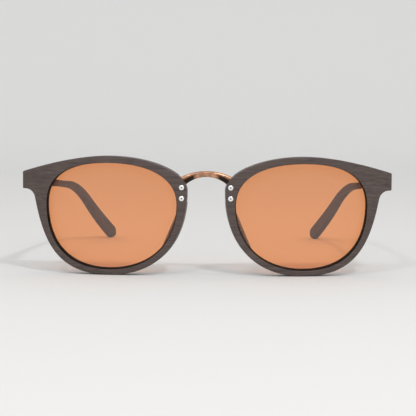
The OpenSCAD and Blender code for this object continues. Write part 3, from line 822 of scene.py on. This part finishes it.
def antique_copper(name, settings, peak, bend):
    """Copper with a painted dark reflection low on the arch's ends.

    The arch's middle line has its peak in the middle and falls by bend times x squared.
    """
    finish, bridge = settings.finish, settings.bridge
    made = Finish(name)
    x, _, z = made.axes()
    above = made.math("MULTIPLY_ADD", made.math("MULTIPLY", x, x), bend, z)
    low = made.spread(above, 1.0, 0.0, peak + bridge.painted_reflection_full, peak + bridge.painted_reflection_none)
    out = made.spread(made.math("ABSOLUTE", x), 0.0, 1.0, bridge.painted_reflection_from, bridge.painted_reflection_to)
    clouds = made.noise(COPPER_CLOUDS, roughness=0.6)
    marks = made.noise(BRUSHED_ALONG_BRIDGE, roughness=0.6)
    copper = made.ramp(clouds, (0.38, finish.copper_dull), (0.58, finish.copper))
    made.set(
        # The painted dark reflection covers the copper low on the ends
        Base_Color=made.mix(made.math("MULTIPLY", low, out), copper, (*finish.copper_aged, 1.0)),
        Roughness=made.spread(marks, 0.22, 0.34),
        Metallic=1.0,
    )
    made.bump(marks, strength=0.2, distance=0.00002)
    return made.material


def stage_paper(name, near, far, start, end):
    """Even studio paper that changes tone from the floor to the backdrop."""
    made = Finish(name)
    back = made.spread(made.axes()[1], 0.0, 1.0, start, end)
    fibre = made.noise(PAPER_FIBRE)
    made.set(Base_Color=made.ramp(back, (0.0, near), (1.0, far)), Roughness=0.9, Specular_IOR_Level=0.1)
    made.bump(fibre, strength=0.05, distance=0.0002)
    return made.material


def kept_material(name, make, *values, **named):
    """A material is made once and shared."""
    return bpy.data.materials.get(name) or make(name, *values, **named)


def rim_wood(finish):
    return kept_material("oiled_wood", wood, finish, GRAIN_ALONG_FRONT, gloss=finish.wood_gloss)


def temple_wood(settings):
    finish, slope = settings.finish, (settings.temple.arm_drop, 0, 0)
    # The temple tone darkens this wood as painted shade
    return kept_material("dry_wood", wood, finish, GRAIN_ALONG_TEMPLE, slope, tone=finish.temple_tone)


def hinge_steel(finish):
    dull = toned(finish.steel, HINGE_PATCH_TONE)
    return kept_material(
        "satin_steel", metal, finish.steel, dull, BRUSHED_ALONG_HINGE, roughness=0.5, strength=0.15
    )


def rivet_steel(finish):
    dull = toned(finish.bright_steel, RIVET_PATCH_TONE)
    return kept_material("bright_rivet", metal, finish.bright_steel, dull, FINE_BRUSHED, roughness=0.3)


def shaded_dimple_steel(finish):
    # The dimples' steel is darkened as painted shade
    dimple_shade, shade = (toned(finish.bright_steel, tone) for tone in (DIMPLE_PAINTED_SHADE, DIMPLE_PATCH_PAINTED_SHADE))
    return kept_material("dull_dimple", metal, dimple_shade, shade, FINE_BRUSHED, roughness=0.4)


def spring_wire(finish):
    return kept_material("drawn_wire", metal, finish.bright_steel, finish.steel, FINE_BRUSHED, roughness=0.25)


# Operators, one for each group of pieces

class SUNGLASSES_OT_stage(Operator):
    """Make the floor, the backdrop, the soft light and the camera"""

    bl_idname = "sunglasses.stage"
    bl_label = "Stage"

    BEND_STEPS = 16
    SENSOR_WIDTH = 36.0
    NEAREST = 0.01

    def execute(self, context):
        settings = context.scene.sunglasses
        stage, finish = settings.stage, settings.finish
        bend = stage.wall_bend
        foot = stage.wall_distance - bend
        profile = [(-stage.reach, 0.0)]
        for a in quarter_turn(self.BEND_STEPS):
            profile.append((foot + bend * math.sin(a), bend - bend * math.cos(a)))
        profile.append((stage.wall_distance, stage.reach))
        points = [(x, y, z) for y, z in profile for x in (-stage.reach, stage.reach)]
        faces = [(2 * i, 2 * i + 1, 2 * i + 3, 2 * i + 2) for i in range(len(profile) - 1)]
        paper = stage_paper("stage_paper", finish.floor, finish.wall, stage.tone_start, stage.wall_distance)
        floor = new_piece("floor", points, faces, [paper])
        smooth(floor, degrees=60)

        world = bpy.data.worlds.new("studio")
        world.use_nodes = True
        sky = world.node_tree.nodes["Background"]
        sky.inputs["Color"].default_value = (*WHITE, 1.0)
        sky.inputs["Strength"].default_value = stage.sky
        context.scene.world = world

        aim = Vector(stage.camera_aim)
        for name, energy, side in (("key", stage.key, 1), ("fill", stage.fill, -1)):
            light = bpy.data.lights.new(name, "AREA")
            light.shape = "DISK"
            light.size = stage.lamp_size
            light.energy = energy
            lamp = bpy.data.objects.new(name, light)
            lamp.location = Vector(stage.lamp_place) * Vector((side, 1, 1))
            lamp.rotation_euler = (aim - lamp.location).to_track_quat("-Z", "Y").to_euler()
            context.scene.collection.objects.link(lamp)

        lens = bpy.data.cameras.new("camera")
        lens.lens = stage.focal
        lens.sensor_width = self.SENSOR_WIDTH
        lens.clip_start = self.NEAREST
        camera = bpy.data.objects.new("camera", lens)
        camera.location = stage.camera_place
        look = (aim - Vector(stage.camera_place)).to_track_quat("-Z", "Y")
        camera.rotation_euler = (look @ Quaternion((0, 0, 1), stage.camera_roll)).to_euler()
        context.scene.collection.objects.link(camera)
        context.scene.camera = camera
        context.scene.view_settings.view_transform = "Standard"
        return {"FINISHED"}


class SUNGLASSES_OT_rims(Operator):
    """Make the two wooden rims with their end pieces, lens grooves and seats"""

    bl_idname = "sunglasses.rims"
    bl_label = "Rims"

    FACE_STEPS = 5
    EDGE_STEPS = 4
    # Steps of the rounded lip that are still dark
    DARK_STEPS = 2
    # Fits that the leaf's seat runs past the butt face
    SEAT_OVERRUN = 4

    def execute(self, context):
        settings = context.scene.sunglasses
        shape = FrontShape(settings)
        loops, dark = self.loops(shape)
        materials = [rim_wood(settings.finish), kept_material("edge_lacquer", edge_lacquer, settings.finish)]
        points, faces = skin(loops, ring=True)
        inks = np.repeat(dark, len(loops[0])).tolist()
        for name, side in SIDES.items():
            rim = new_piece(name + "_rim_wood", mirrored(points, side), faces, materials, inks)
            cut(rim, self.seats(settings, shape, name, side))
            smooth(rim)
            seat(rim, "front", "rim_wood", name + "_rim")
        return {"FINISHED"}

    def loops(self, shape):
        """Closed loops round the rim, one for each corner of its section, and which strips are dark."""
        rim, lens = shape.settings.rim, shape.settings.lens
        outer = shape.rim_outline()
        normal = outward(outer)
        # From this hub no part of the outer edge hides another, so the strips don't fold
        hub = np.array([shape.settings.opening.lean, rim.hinge_rise - rim.end_height / 2 + rim.end_corner])
        spokes = outer - hub
        directions = np.arctan2(spokes[:, 1], spokes[:, 0])
        turns = quarter_turn(self.EDGE_STEPS)
        steps = np.linspace(0, 1, self.FACE_STEPS + 1)[1:-1]

        def inner(grow):
            return in_directions(shape.opening_outline(grow), hub, directions)

        def inset(size):
            return outer - normal * size

        def rear(grow):
            return edge + widening * (rim.rear_flare * behind + grow)[:, None]

        stations = []

        def add(points, y, dark=False):
            stations.append((shape.place(points, y), dark))

        def at_front(points, depth, dark=False):
            add(points, shape.face(points[:, 0]) + depth, dark)

        def at_back(points, depth, dark=False):
            add(points, shape.back(points[:, 0]) - depth, dark)

        lens_front = lens.recess - lens.clearance
        lens_back = lens.recess + lens.thickness + lens.clearance
        taper = shape.settings.opening.taper
        groove = shape.at_lens(inner(lens.bite + lens.clearance - taper))
        edge = shape.at_lens(inner(-taper))
        behind = shape.back(edge[:, 0]) - shape.face(edge[:, 0]) - lens_back
        widening = (groove - edge) / (lens.bite + lens.clearance)
        at_front(edge, lens_front, dark=True)
        for a in turns:
            dark = a < turns[self.DARK_STEPS]
            at_front(inner(rim.lip_round * (1 - math.cos(a))), rim.lip_round * (1 - math.sin(a)), dark)
        face_in, face_out = inner(rim.lip_round), inset(rim.front_round)
        for t in steps:
            at_front(face_in + t * (face_out - face_in), 0)
        for a in turns:
            at_front(inset(rim.front_round * (1 - math.sin(a))), rim.front_round * (1 - math.cos(a)))
        front_wall = shape.face(outer[:, 0]) + rim.front_round
        back_wall = shape.back(outer[:, 0]) - rim.back_round
        for t in steps:
            add(outer, front_wall + t * (back_wall - front_wall))
        for a in turns:
            at_back(inset(rim.back_round * (1 - math.cos(a))), rim.back_round * (1 - math.sin(a)))
        face_out, face_in = inset(rim.back_round), rear(rim.lip_round)
        for t in steps:
            at_back(face_out + t * (face_in - face_out), 0)
        for a in turns:
            dark = a == turns[-1]
            at_back(rear(rim.lip_round * (1 - math.sin(a))), rim.lip_round * (1 - math.cos(a)), dark)
        at_front(edge, lens_back, dark=True)
        at_front(groove, lens_back, dark=True)
        at_front(groove, lens_front, dark=True)
        return [s[0] for s in stations], [s[1] for s in stations]

    def seats(self, settings, shape, name, side):
        """Room for the hinge leaf, the bridge's foot plate and the rivet heads."""
        fit, depth, bridge = settings.hinge.fit, settings.front.depth, settings.bridge
        leaf_low, leaf_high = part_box(name + "_hinge_leaf")
        past_butt = leaf_low.y + settings.hinge.leaf_thickness + fit * self.SEAT_OVERRUN
        leaf = box_points(
            (leaf_low.x - fit, leaf_low.y, leaf_low.z - fit),
            (leaf_high.x + fit, past_butt, leaf_high.z + fit),
        )
        bridge_low, bridge_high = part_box("bridge")
        foot_x = side * (bridge_high.x + fit)
        foot = box_points(
            (min(0, foot_x), bridge_low.y, bridge_low.z - fit),
            (max(0, foot_x), bridge_high.y + depth, bridge_high.z + fit),
        )
        face, places = shape.rivet_places(side)
        drill = bridge.rivet_head + bridge.rivet_gap
        profile = [(0, -depth), (drill, -depth), (drill, bridge.rivet_sink), (0, bridge.rivet_sink)]
        bore, bore_faces = lathe(profile, RIVET_SIDES)
        bores = [(bore + np.array([x, face, z]), bore_faces) for x, z in places]
        return [leaf, foot] + bores


class SUNGLASSES_OT_lenses(Operator):
    """Make the two bowed amber lenses"""

    bl_idname = "sunglasses.lenses"
    bl_label = "Lenses"

    RINGS = 14
    EDGE_STEPS = 40

    def execute(self, context):
        settings = context.scene.sunglasses
        shape = FrontShape(settings)
        lens = settings.lens
        edge = shape.at_lens(shape.opening_outline(lens.bite - settings.opening.taper, self.EDGE_STEPS))
        centre = shape.at_lens(shape.centre())
        rings = [centre + (edge - centre) * k / self.RINGS for k in range(1, self.RINGS + 1)]
        back = lens.recess + lens.thickness
        sheet = [shape.place(ring, shape.face(ring[:, 0], lens.recess)) for ring in rings]
        sheet += [shape.place(ring, shape.face(ring[:, 0], back)) for ring in rings[::-1]]
        points, faces = skin(sheet)
        front = (self.RINGS - 1) * len(edge)
        inks = [int(i >= front) for i in range(len(faces))]
        # The last face but one closes the middle of the front
        inks[-2] = 0
        tints = [
            kept_material("lens_face", tinted_lens, settings.finish, coat=1.0),
            kept_material("lens_back", tinted_lens, settings.finish, coat=0.0),
        ]
        for name, side in SIDES.items():
            piece = new_piece(name + "_tinted_lens", mirrored(points, side), faces, tints, inks)
            smooth(piece, degrees=40)
            seat(piece, "front", "lens_tint", name + "_lens")
        return {"FINISHED"}


class SUNGLASSES_OT_nose_pads(Operator):
    """Make the two wooden nose pads behind the rims"""

    bl_idname = "sunglasses.nose_pads"
    bl_label = "Nose pads"

    BALL_SEGMENTS = 32
    BALL_RINGS = 20
    # How far the front balls lie behind the wood, in radii
    FRONT_SET = 0.4
    RELAX_SHARE = 0.5
    RELAX_ROUNDS = 4

    def execute(self, context):
        settings = context.scene.sunglasses
        shape = FrontShape(settings)
        pad = settings.pad
        for name, side in SIDES.items():
            piece = self.hull(name + "_pad_wood", self.balls(settings, shape, side), pad.radius)
            piece.data.materials.append(rim_wood(settings.finish))
            even = piece.modifiers.new("Even", "REMESH")
            even.mode = "VOXEL"
            even.voxel_size = pad.grid
            relax = piece.modifiers.new("Relax", "SMOOTH")
            relax.factor = self.RELAX_SHARE
            relax.iterations = self.RELAX_ROUNDS
            settle(piece)
            smooth(piece, degrees=80)
            seat(piece, "front", "pad_wood", name + "_nose_pad")
        return {"FINISHED"}

    def balls(self, settings, shape, side):
        """Centres of the four balls that span a pad."""
        pad = settings.pad
        centres = []
        for place in (pad.top_place, pad.bottom_place):
            u, w = shape.nose_wood(place)
            back = float(shape.face(np.float64(u), settings.front.depth))
            for flare, reach in ((0, pad.radius * self.FRONT_SET), (pad.flare, pad.reach)):
                point, y = np.array([[u + flare, w]]), np.array([back + reach])
                centres.append(mirrored(shape.place(point, y), side)[0])
        return centres

    def hull(self, name, centres, radius):
        """A piece stretched over balls."""
        work = bmesh.new()
        for at in centres:
            bmesh.ops.create_uvsphere(
                work,
                u_segments=self.BALL_SEGMENTS,
                v_segments=self.BALL_RINGS,
                radius=radius,
                matrix=Matrix.Translation(at),
            )
        hull = bmesh.ops.convex_hull(work, input=work.verts)
        inside = [v for v in hull["geom_interior"] if isinstance(v, bmesh.types.BMVert)]
        bmesh.ops.delete(work, geom=inside, context="VERTS")
        mesh = bpy.data.meshes.new(name)
        work.to_mesh(mesh)
        work.free()
        piece = bpy.data.objects.new(name, mesh)
        bpy.context.scene.collection.objects.link(piece)
        return piece


class SUNGLASSES_OT_bridge(Operator):
    """Make the copper arch with its two foot plates"""

    bl_idname = "sunglasses.bridge"
    bl_label = "Bridge"

    ARCH_STEPS = 40
    FOOT_STEPS = 10
    TOE_STEPS = 6
    # The toe's rounding stops short of its tip, and a section's rounding short of its half width
    TOE_SHARE = 0.97
    ROUND_SHARE = 0.9

    def execute(self, context):
        settings = context.scene.sunglasses
        shape = FrontShape(settings)
        bridge = settings.bridge
        points, faces = skin(self.loops(bridge, shape))
        peak = shape.lens_z + bridge.rise - bridge.height / 2
        bend = (bridge.fall + bridge.hollow) / 2 / self.span(shape) ** 2
        copper = kept_material("antique_copper", antique_copper, settings, peak, bend)
        piece = new_piece("bridge_copper", points, faces, [copper])
        smooth(piece, degrees=40)
        seat(piece, "front", "bridge_copper", "bridge")
        return {"FINISHED"}

    def span(self, shape):
        """Half the gap between the rims."""
        return shape.front_x(-shape.settings.opening.nasal - shape.settings.rim.nasal)

    def loops(self, bridge, shape):
        """Sections along the two rails of the bar, from one toe over the arch to the other."""
        low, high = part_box("bridge")
        span = self.span(shape)
        top = shape.lens_z + bridge.rise
        half = high.x
        inner_half = half - bridge.foot_width

        def arch(x, peak, fall):
            radius = (span * span + fall * fall) / (2 * fall)
            return peak - radius + np.sqrt(radius * radius - x * x)

        steps = np.linspace(0, 1, self.ARCH_STEPS + 1)
        upper_x, lower_x = half * steps, inner_half * steps
        upper = np.stack([upper_x, arch(upper_x, top, bridge.fall)], 1)
        lower = np.stack([lower_x, arch(lower_x, top - bridge.height, bridge.hollow)], 1)
        toe = low.z + bridge.foot_width / 2
        down = np.linspace(0, 1, self.FOOT_STEPS + 1)[1:, None]
        outer_leg = upper[-1] + down * (np.array([half, toe]) - upper[-1])
        inner_leg = lower[-1] + down * (np.array([inner_half, toe]) - lower[-1])
        foot_x, foot_half = (half + inner_half) / 2, bridge.foot_width / 2
        turns = quarter_turn(self.TOE_STEPS)[1:] * self.TOE_SHARE
        ends = foot_half * np.stack([np.cos(turns), -np.sin(turns)], 1)
        flip = np.array([-1, 1])
        outer_rail = np.concatenate([upper, outer_leg, np.array([foot_x, toe]) + ends])
        inner_rail = np.concatenate([lower, inner_leg, np.array([foot_x, toe]) + ends * flip])
        rails = [np.concatenate([rail[:0:-1] * flip, rail]) for rail in (outer_rail, inner_rail)]
        loops = []
        for a, b in zip(*rails):
            across = (a - b) / 2
            half_width = np.linalg.norm(across)
            rounding = min(bridge.rounding, half_width * self.ROUND_SHARE)
            section = rounded_section(half_width, (high.y - low.y) / 2, rounding)
            flat = (a + b) / 2 + section[:, :1] * across / half_width
            loops.append(np.stack([flat[:, 0], (low.y + high.y) / 2 + section[:, 1], flat[:, 1]], 1))
        return loops


class SUNGLASSES_OT_rivets(Operator):
    """Make the four dimpled rivets of the bridge"""

    bl_idname = "sunglasses.rivets"
    bl_label = "Rivets"

    DOME_STEPS = 6
    # Rings of faces in the dimple; its middle and floor as shares of its radius
    DIMPLE_RINGS = 2
    DIMPLE_DEPTH = 0.6
    FLOOR_RADIUS, FLOOR_DEPTH = 0.6, 0.5
    # Place of the dimple's rim between the top of the head and the wood, and how round the dome is
    CROWN = 0.15
    DOME_ROUND = 0.98
    # Radius of the spread tail in head radii, at the plate and halfway out
    TAIL_RADIUS, TAIL_SHOULDER = 0.9, 0.85

    def execute(self, context):
        settings = context.scene.sunglasses
        shape = FrontShape(settings)
        points, faces, inks = [], [], []
        for side in SIDES.values():
            face, places = shape.rivet_places(side)
            rivet, rivet_faces = lathe(self.profile(settings.bridge, face), RIVET_SIDES)
            for x, z in places:
                faces += [tuple(i + len(points) * len(rivet) for i in f) for f in rivet_faces]
                inks += [int(i < self.DIMPLE_RINGS * RIVET_SIDES) for i in range(len(rivet_faces))]
                points.append(rivet + np.array([x, 0, z]))
        metals = [rivet_steel(settings.finish), shaded_dimple_steel(settings.finish)]
        piece = new_piece("bridge_rivet_set", np.concatenate(points), faces, metals, inks)
        smooth(piece, degrees=40)
        seat(piece, "front", "rivet_steel", "bridge_rivets")
        return {"FINISHED"}

    def profile(self, bridge, face):
        """Dimple, dome, shank and spread tail, from the front to the back."""
        front, tail = (corner.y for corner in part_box("bridge_rivets"))
        plate_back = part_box("bridge")[1].y
        head, shank, dimple = bridge.rivet_head, bridge.rivet_shank, bridge.rivet_dimple
        crown = front + self.CROWN * (face - front)
        points = [
            (0, crown + dimple * self.DIMPLE_DEPTH),
            (dimple * self.FLOOR_RADIUS, crown + dimple * self.FLOOR_DEPTH),
            (dimple, crown),
        ]
        for t in np.linspace(0, 1, self.DOME_STEPS + 1)[1:]:
            fall = 1 - math.sqrt(1 - t * t * self.DOME_ROUND)
            points.append((dimple + (head - dimple) * t, crown + (face - crown) * fall))
        sunk = face + bridge.rivet_sink
        return points + [
            (head, sunk),
            (shank, sunk),
            (shank, plate_back),
            (head * self.TAIL_RADIUS, plate_back),
            (head * self.TAIL_SHOULDER, (plate_back + tail) / 2),
            (shank, tail),
            (0, tail),
        ]


class TempleShape:
    """Side and plan views of a temple, walked by s from the butt face."""

    def __init__(self, settings, shape):
        self.t = t = settings.temple
        self.shape = shape
        self.end_height = settings.rim.end_height
        self.bend_length = t.bend_radius * (t.tip_drop - t.arm_drop)
        self.arm_end = t.arm_length * np.array([math.cos(t.arm_drop), -math.sin(t.arm_drop)])
        fall = shape.hinge_z + self.bend_point(t.tip_drop)[1] - t.tip_height / 2
        self.length = t.arm_length + self.bend_length + fall / math.sin(t.tip_drop)

    def bend_point(self, angle):
        """Point of the ear bend where the slope has reached an angle."""
        t = self.t
        return self.arm_end + t.bend_radius * np.array(
            [math.sin(angle) - math.sin(t.arm_drop), math.cos(angle) - math.cos(t.arm_drop)]
        )

    def drop(self, s):
        """Slope at s."""
        t = self.t
        return min(t.tip_drop, t.arm_drop + max(0, s - t.arm_length) / t.bend_radius)

    def middle(self, s):
        """Back and up distances of the middle line at s."""
        t = self.t
        if s < t.arm_length:
            return s * np.array([math.cos(t.arm_drop), -math.sin(t.arm_drop)])
        if s < t.arm_length + self.bend_length:
            return self.bend_point(self.drop(s))
        rest = s - t.arm_length - self.bend_length
        return self.bend_point(t.tip_drop) + rest * np.array([math.cos(t.tip_drop), -math.sin(t.tip_drop)])

    def height(self, s):
        t = self.t
        if s < t.slim_length:
            return float(ease(self.end_height, t.arm_height, s / t.slim_length))
        return float(ease(t.arm_height, t.tip_height, (s - t.slim_length) / (self.length - t.slim_length)))

    def outer(self, d):
        """Distance of the outer face from the middle of the front, at d behind the butt face."""
        t = self.t
        curl = t.curl_radius - np.sqrt(t.curl_radius ** 2 - np.maximum(0, d - t.curl_start) ** 2)
        return self.shape.butt_x - d * math.tan(t.inset) - curl

    def thickness(self, d):
        t = self.t
        return ease(t.butt_thickness, t.arm_thickness, d / t.taper_length)

    def section(self, middle, lean, half_height, inset=0.0):
        """Closed rounded section across the arm, leaning with its slope."""
        thick = float(self.thickness(np.float64(middle[0])))
        half_thick = thick / 2 - inset
        half_height = half_height - inset
        radius = self.t.corner * min(half_thick, half_height)
        flat = rounded_section(half_thick, half_height, radius)
        d = middle[0] + flat[:, 1] * math.sin(lean)
        x = self.outer(d) - thick / 2 + flat[:, 0]
        z = self.shape.hinge_z + middle[1] + flat[:, 1] * math.cos(lean)
        return np.stack([x, self.shape.front_y + self.shape.butt_y + d, z], 1)


class SUNGLASSES_OT_temples(Operator):
    """Make the two wooden temples with their ear bends and paddle tips"""

    bl_idname = "sunglasses.temples"
    bl_label = "Temples"

    BUTT_STEPS = 3
    ARM_STEPS = 110
    TIP_STEPS = 10
    # The tip's rounding stops short of its end, so that the last section keeps a height
    TIP_SHARE = 0.98
    # Length over which the sections lean into the arm's slope
    BUTT_BLEND = 0.008
    # Reach of the cuts past the wood
    CUT_REACH = 0.02
    # Points of the case this close to its deepest one are on its deepest face
    FLUSH = 0.00001
    # The case's foot starts this far past that face
    FOOT_START = 0.0001

    def execute(self, context):
        settings = context.scene.sunglasses
        shape = FrontShape(settings)
        points, faces = skin(self.loops(settings, shape))
        for name, side in SIDES.items():
            piece = new_piece(name + "_temple_wood", mirrored(points, side), faces, [temple_wood(settings)])
            cut(piece, self.rooms(settings, shape, name, side))
            smooth(piece)
            seat(piece, name + "_temple", "temple_wood", name + "_temple")
        return {"FINISHED"}

    def loops(self, settings, shape):
        """Sections from the rounded butt face along the arm to the rounded tip."""
        t = settings.temple
        arm = TempleShape(settings, shape)
        loops = []
        for a in quarter_turn(self.BUTT_STEPS):
            middle = np.array([t.butt_gap + t.butt_round * (1 - math.cos(a)), 0.0])
            loops.append(arm.section(middle, 0.0, arm.height(0) / 2, t.butt_round * (1 - math.sin(a))))
        for s in np.linspace(0, arm.length, self.ARM_STEPS + 1)[1:]:
            lean = arm.drop(s) * float(ease(0, 1, s / self.BUTT_BLEND))
            loops.append(arm.section(arm.middle(s), lean, arm.height(s) / 2))
        half = t.tip_height / 2
        along = np.array([math.cos(t.tip_drop), -math.sin(t.tip_drop)])
        for a in quarter_turn(self.TIP_STEPS)[1:] * self.TIP_SHARE:
            middle = arm.middle(arm.length) + half * math.sin(a) * along
            loops.append(arm.section(middle, t.tip_drop, half * math.cos(a)))
        return loops

    def rooms(self, settings, shape, name, side):
        """Room in the wood for the hinge knuckles and the spring case."""
        hinge, far = settings.hinge, self.CUT_REACH
        pin = shape.pin_place(name)
        edge = side * (abs(pin.x) + hinge.knuckle_radius + hinge.knuckle_room)
        low, high = sorted((edge, edge - side * far))
        notch = box_points(
            (low, pin.y - far, pin.z - far),
            (high, pin.y + hinge.case_setback, pin.z + far),
        )
        return [notch] + self.case_rooms(hinge, shape.arm_slope(), pin, name, side)

    def case_rooms(self, hinge, slope, pin, name, side):
        """Boxes round the case and its foot, along the slope of the arm."""
        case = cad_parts[name + "_hinge_case"]
        local = np.array([slope.inverted() @ (v.co - pin) for v in case.data.vertices])
        depth, along, height = local[:, 0] * side, local[:, 1], local[:, 2].max() + hinge.fit
        body_end = along[depth > depth.max() - self.FLUSH].max()
        foot_depth = depth[along > body_end + self.FOOT_START].max()
        rooms = []
        for front, back, deep in (
            (hinge.case_setback, body_end, depth.max()),
            (body_end, along.max(), foot_depth),
        ):
            low, high = sorted((-side * self.CUT_REACH, side * (deep + hinge.fit)))
            points, faces = box_points((low, front - hinge.fit, -height), (high, back + hinge.fit, height))
            rooms.append((np.array([slope @ Vector(p) + pin for p in points]), faces))
        return rooms


class SUNGLASSES_OT_hinges(Operator):
    """Finish the steel hinge pieces of the CAD frame"""

    bl_idname = "sunglasses.hinges"
    bl_label = "Hinges"

    PIECES = (
        "hinge_leaf", "leaf_screws", "hinge_pin", "hinge_tongue", "spring_stop", "hinge_case", "case_screws",
    )

    def execute(self, context):
        settings = context.scene.sunglasses
        steel = hinge_steel(settings.finish)
        for name in SIDES:
            for piece in self.PIECES:
                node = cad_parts[name + "_" + piece]
                node.data.materials.clear()
                node.data.materials.append(steel)
        return {"FINISHED"}


class SUNGLASSES_OT_springs(Operator):
    """Make the coil springs inside the hinge cases"""

    bl_idname = "sunglasses.springs"
    bl_label = "Springs"

    TURN_STEPS = 28
    WIRE_SIDES = 10

    def execute(self, context):
        settings = context.scene.sunglasses
        hinge = settings.hinge
        shape = FrontShape(settings)
        slope = shape.arm_slope()
        start = hinge.case_setback + hinge.case_wall
        points, faces = skin(self.loops(hinge, start))
        for name in SIDES:
            pin = shape.pin_place(name)
            placed = [slope @ Vector(p) + pin for p in points]
            piece = new_piece(name + "_coil_spring", placed, faces, [spring_wire(settings.finish)])
            smooth(piece, degrees=60)
            seat(piece, name + "_tongue", "spring_wire", name + "_hinge_spring")
            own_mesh(piece)
        return {"FINISHED"}

    def loops(self, hinge, start):
        """Rings of the wire along the coil."""
        coil = hinge.spring_radius - hinge.wire_radius
        margin = hinge.wire_radius + hinge.fit
        count = hinge.spring_turns * self.TURN_STEPS
        ring = np.linspace(0, 2 * math.pi, self.WIRE_SIDES, endpoint=False)
        loops = []
        for i in range(count + 1):
            a = 2 * math.pi * i / self.TURN_STEPS
            y = start + margin + (hinge.spring_length - 2 * margin) * i / count
            radius = coil + hinge.wire_radius * np.cos(ring)
            height = y + hinge.wire_radius * np.sin(ring)
            loops.append(np.stack([radius * math.cos(a), height, radius * math.sin(a)], 1))
        return loops


OPERATORS = (
    SUNGLASSES_OT_stage,
    SUNGLASSES_OT_rims,
    SUNGLASSES_OT_lenses,
    SUNGLASSES_OT_nose_pads,
    SUNGLASSES_OT_bridge,
    SUNGLASSES_OT_rivets,
    SUNGLASSES_OT_temples,
    SUNGLASSES_OT_hinges,
    SUNGLASSES_OT_springs,
)


class SUNGLASSES_PT_panel(Panel):
    """Lists the pieces of the sunglasses and their sizes"""

    bl_idname = "SUNGLASSES_PT_panel"
    bl_label = "Wooden Sunglasses"
    bl_space_type = "VIEW_3D"
    bl_region_type = "UI"
    bl_category = "Sunglasses"

    def draw(self, context):
        settings = context.scene.sunglasses
        column = self.layout.column(align=True)
        for operator in OPERATORS:
            column.operator(operator.bl_idname)
        for pointer in settings.bl_rna.properties:
            if pointer.type != "POINTER" or pointer.identifier == "rna_type":
                continue
            box = self.layout.box()
            box.label(text=pointer.name)
            sizes = getattr(settings, pointer.identifier)
            for size in sizes.bl_rna.properties:
                if size.identifier not in ("rna_type", "name"):
                    box.prop(sizes, size.identifier)


GROUPS = (
    FrontSizes, OpeningSizes, RimSizes, LensSizes, BridgeSizes, PadSizes, TempleSizes, HingeSizes,
    Finishes, StageSizes, SunglassesSettings,
)
CLASSES = GROUPS + OPERATORS + (SUNGLASSES_PT_panel,)


def register():
    for item in CLASSES:
        bpy.utils.register_class(item)
    bpy.types.Scene.sunglasses = PointerProperty(type=SunglassesSettings)


def unregister():
    del bpy.types.Scene.sunglasses
    for item in reversed(CLASSES):
        bpy.utils.unregister_class(item)


def main():
    register()
    bpy.ops.sunglasses.stage()
    bpy.ops.sunglasses.rims()
    bpy.ops.sunglasses.lenses()
    bpy.ops.sunglasses.nose_pads()
    bpy.ops.sunglasses.bridge()
    bpy.ops.sunglasses.rivets()
    bpy.ops.sunglasses.temples()
    bpy.ops.sunglasses.hinges()
    bpy.ops.sunglasses.springs()


if __name__ == "__main__":
    main()
